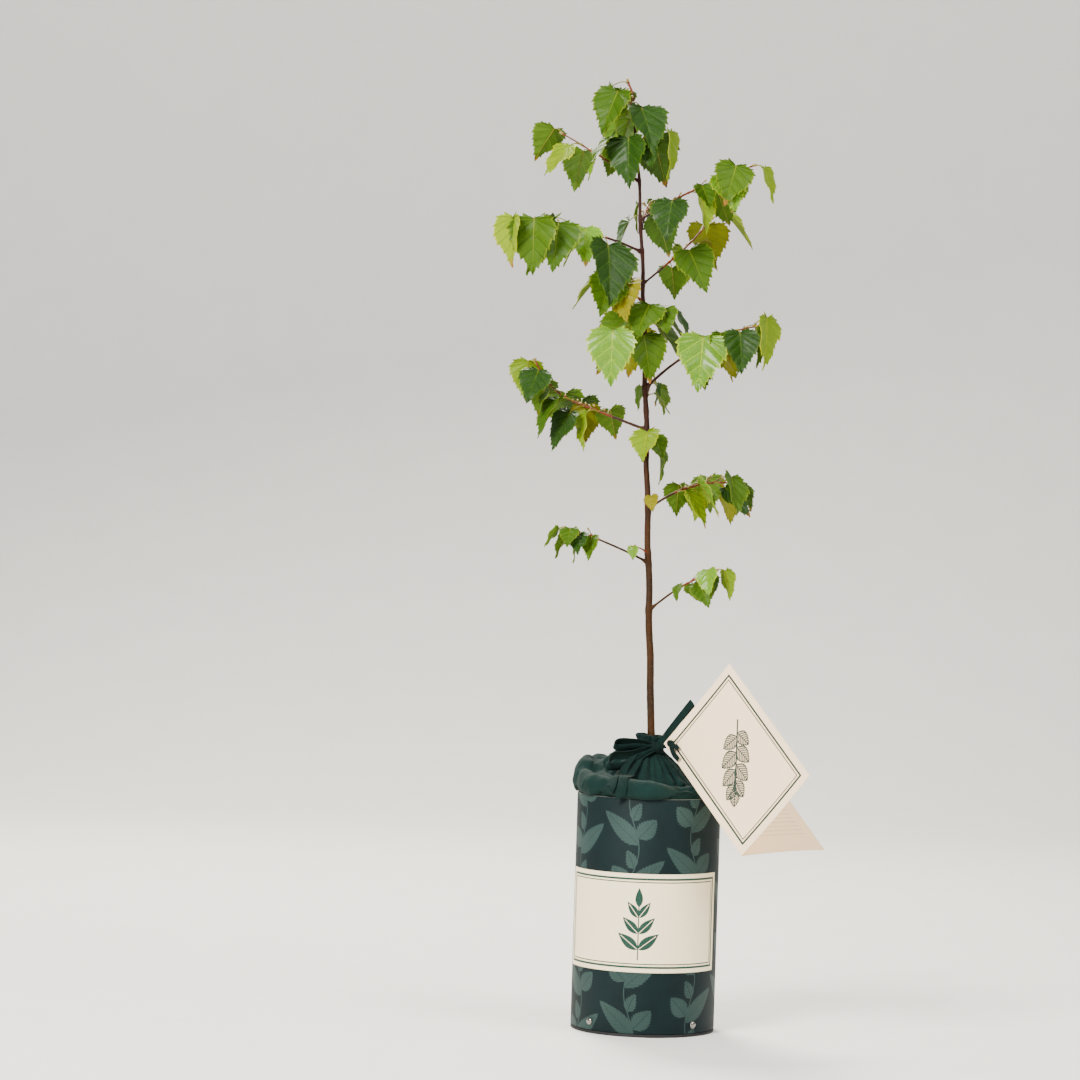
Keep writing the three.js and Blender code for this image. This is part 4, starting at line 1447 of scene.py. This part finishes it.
# %% Card halves and hole
card_front = card_half("card_front", front_edge, 1.2)
card_back = card_half("card_back", back_edge, -1.5)
bpy.ops.mesh.primitive_cylinder_add(vertices=32, radius=2.2 * MM, depth=8 * MM, location=hole_at * MM)
punch = named("punch")
punch.rotation_euler = Vector(front_facing).to_track_quat("Z", "Y").to_euler()
worked(card_front, "BOOLEAN", object=punch, operation="DIFFERENCE", solver="EXACT")
removed(punch)
for half in (card_front, card_back):
    bevelled(half, 0.08, 1, 60)
    rounded(half)

# %% [markdown]
# The front of the card has the same kind of border as the label, and in its middle a sprig
# drawn as an engraver would: outlines, a midrib and fine side strokes, with no solid fill.
# Its inside has plain writing lines.

# %% Card print
NO_BORDER = 500
# foot, lean and length of each leaf on the hanging sprig
SPRIG = [(20, 128, 15), (17, -125, 16), (9, 132, 17), (5, -130, 18), (-4, 136, 17), (-8, -135, 17),
         (-16, 146, 15), (-19, -147, 14), (-23, 180, 13)]

card_paper, across, down, mark, ground = felt_paper("card paper", CARD_WIDE, CARD_LONG, 6.4, "fddcb0")
x = across * 0.72 + down * 0.69
z = across * 0.69 - down * 0.72
for foot, lean, length in SPRIG:
    depth, share, aside = leaf_print(x, z, (0, foot), lean, length, length * 0.66, 0.9)
    outline = inked(0.7 - abs(depth - 0.4), 0.2) * (share > 0) * (share < 1)
    strokes = veined(share, aside, length, 2.1, 0.6, 0.3)
    inside = inked(depth, 0.2)
    mark = mark.most(outline).most(inside * (strokes * 0.6 + 0.4)).most(inside * inked(0.5 - aside, 0.2))
mark = mark.most(inked(0.8 - abs(x), 0.2) * (abs(z - 3) < 27))
printed(card_paper, mark, ground, "082c24")

inner_paper, across, down, _, ground = felt_paper("card inside", CARD_WIDE, CARD_LONG, NO_BORDER, "ffd6a0")
lines_at = (down / 4.2).from_whole() * 4.2
ruled = inked(0.24 - lines_at, 0.14) * (abs(across) < 33) * (abs(down) < 46)
printed(inner_paper, ruled * 0.7, ground, "7a5540")

plain_paper, _, _, mark, ground = felt_paper("card plain side", CARD_WIDE, CARD_LONG, NO_BORDER, "fddcb0")
printed(plain_paper, mark, ground, "041f18")


# %% Each side of the card with its own finish
def two_sided(half, facing, front, back):
    """Faces towards the given way take the front finish, and the others the back one."""
    for face in half.data.polygons:
        face.material_index = 0 if np.dot(face.normal, facing) > 0 else 1
    handed_over(half, [front, back], "card", "gift_card")


two_sided(card_front, front_facing, card_paper, plain_paper)
two_sided(card_back, np.cross(spine, back_edge), inner_paper, plain_paper)

# %% Tape through the card
behind_hole = hole_at - 2.2 * front_facing
before_hole = hole_at + 2.2 * front_facing


def from_corner(along, aside, behind):
    return CARD_CORNER + along * front_edge + aside * spine - behind * front_facing


def from_hole(along, aside, out):
    return before_hole + along * front_edge + aside * spine + out * front_facing


strands += [
    tape("bow_ear_front", [
        KNOT, from_corner(-2, -4.4, 2.5), from_corner(10, -5.2, 3), from_corner(26, -5.8, 3.2),
        from_corner(39, -6.0, 3.2),
    ], spine, wide=6.4),
    tape("bow_ear_back", [
        behind_hole, from_corner(12, 3, 3.4), from_corner(22, -0.5, 4.8), from_corner(38, -2.0, 4.6),
    ], spine, wide=5.6),
    tape("card_tie_back", [
        KNOT, (KNOT + hole_at) / 2 - 2.4 * front_facing, behind_hole, hole_at, before_hole,
    ], front_edge, wide=3.2, crown=0.3),
    tape("card_tie_long", [
        before_hole, from_hole(-1, 4, 1.0), from_hole(-2.4, 10, 1.2), from_hole(-2.0, 15.5, 0.4),
    ], front_edge, wide=4.2, crown=0.4, turn_by=14),
    tape("card_tie_short", [
        before_hole, from_hole(1.5, 3, 1.0), from_hole(3.2, 9, 0.3),
    ], front_edge + spine, wide=3.6, crown=0.3, turn_by=-14),
]

# %% Tape cloth
tape_cloth = woven("woven tape", TAPE_WIDE, 70, 0.5, "030f0d", "0b2622", 5, 0.02)
for count, strand in enumerate(strands):
    handed_over(strand, [tape_cloth], "ribbon", *(["ribbon"] if count == 0 else []))
card_knot = pulled_knot("card_knot", from_hole(0, 0, 0.4), (2.5, 2.1, 2.6))
for piece in (knot, card_knot, neck_tie):
    handed_over(piece, [tape_cloth], "ribbon")

# %% [markdown]
# ## Floor and light
#
# The plant stands on a plain pale floor that curves up behind it, so no horizon crosses the
# picture. The light is soft: a large lamp high on the left in front, a second behind for
# the leaves' edges, a weak fill from the right and a pale sky.

# %% Floor
FLOOR_WIDE = 9
FLOOR_DEEP = 6
WALL_RISE = 4500

bpy.ops.mesh.primitive_plane_add(size=1, location=(0, 0, 0))
floor = named("studio_floor")
floor.scale = (FLOOR_WIDE, FLOOR_DEEP, 1)
settled_in(floor)


def at_back(edge):
    ends = [floor.data.vertices[corner].co for corner in edge.vertices]
    return all(end.y > FLOOR_DEEP / 2 - 0.1 and end.z < 0.01 for end in ends)


pick(floor, at_back, "EDGE")
raised(WALL_RISE)
done_editing()
pick(floor, at_back, "EDGE")
bpy.ops.mesh.bevel(offset=1.2, segments=16)
done_editing()
rounded(floor, 60)
studio = grainy("pale studio paper", (60,), ("dddbd7", "e4e2de"), 0.7, 0.1, Specular_IOR_Level=0.2)
floor.data.materials.append(studio.material)

# %% Light
def lamp(name, place, aim, size, power, colour):
    bpy.ops.object.light_add(type="AREA", location=place)
    light = named(name)
    light.rotation_euler = (Vector(aim) - Vector(place)).to_track_quat("-Z", "Y").to_euler()
    light.data.shape = "DISK"
    light.data.size = size
    light.data.energy = power
    light.data.color = colour


lamp("key_lamp", (-1.3, -2.0, 1.6), (0, 0, 0.35), 1.1, 165, (1.0, 0.97, 0.92))
lamp("back_lamp", (-0.5, 1.5, 1.9), (0, 0, 0.45), 0.9, 120, (1.0, 0.96, 0.85))
lamp("fill_lamp", (1.5, -1.1, 1.9), (0, 0, 0.3), 1.6, 60, (1.0, 0.98, 0.94))
world = bpy.data.worlds.new("pale sky")
bpy.context.scene.world = world
world.use_nodes = True
sky = world.node_tree.nodes["Background"].inputs
sky["Color"].default_value = (0.93, 0.95, 1.0, 1.0)
sky["Strength"].default_value = 0.5
print("three lamps and a pale sky")
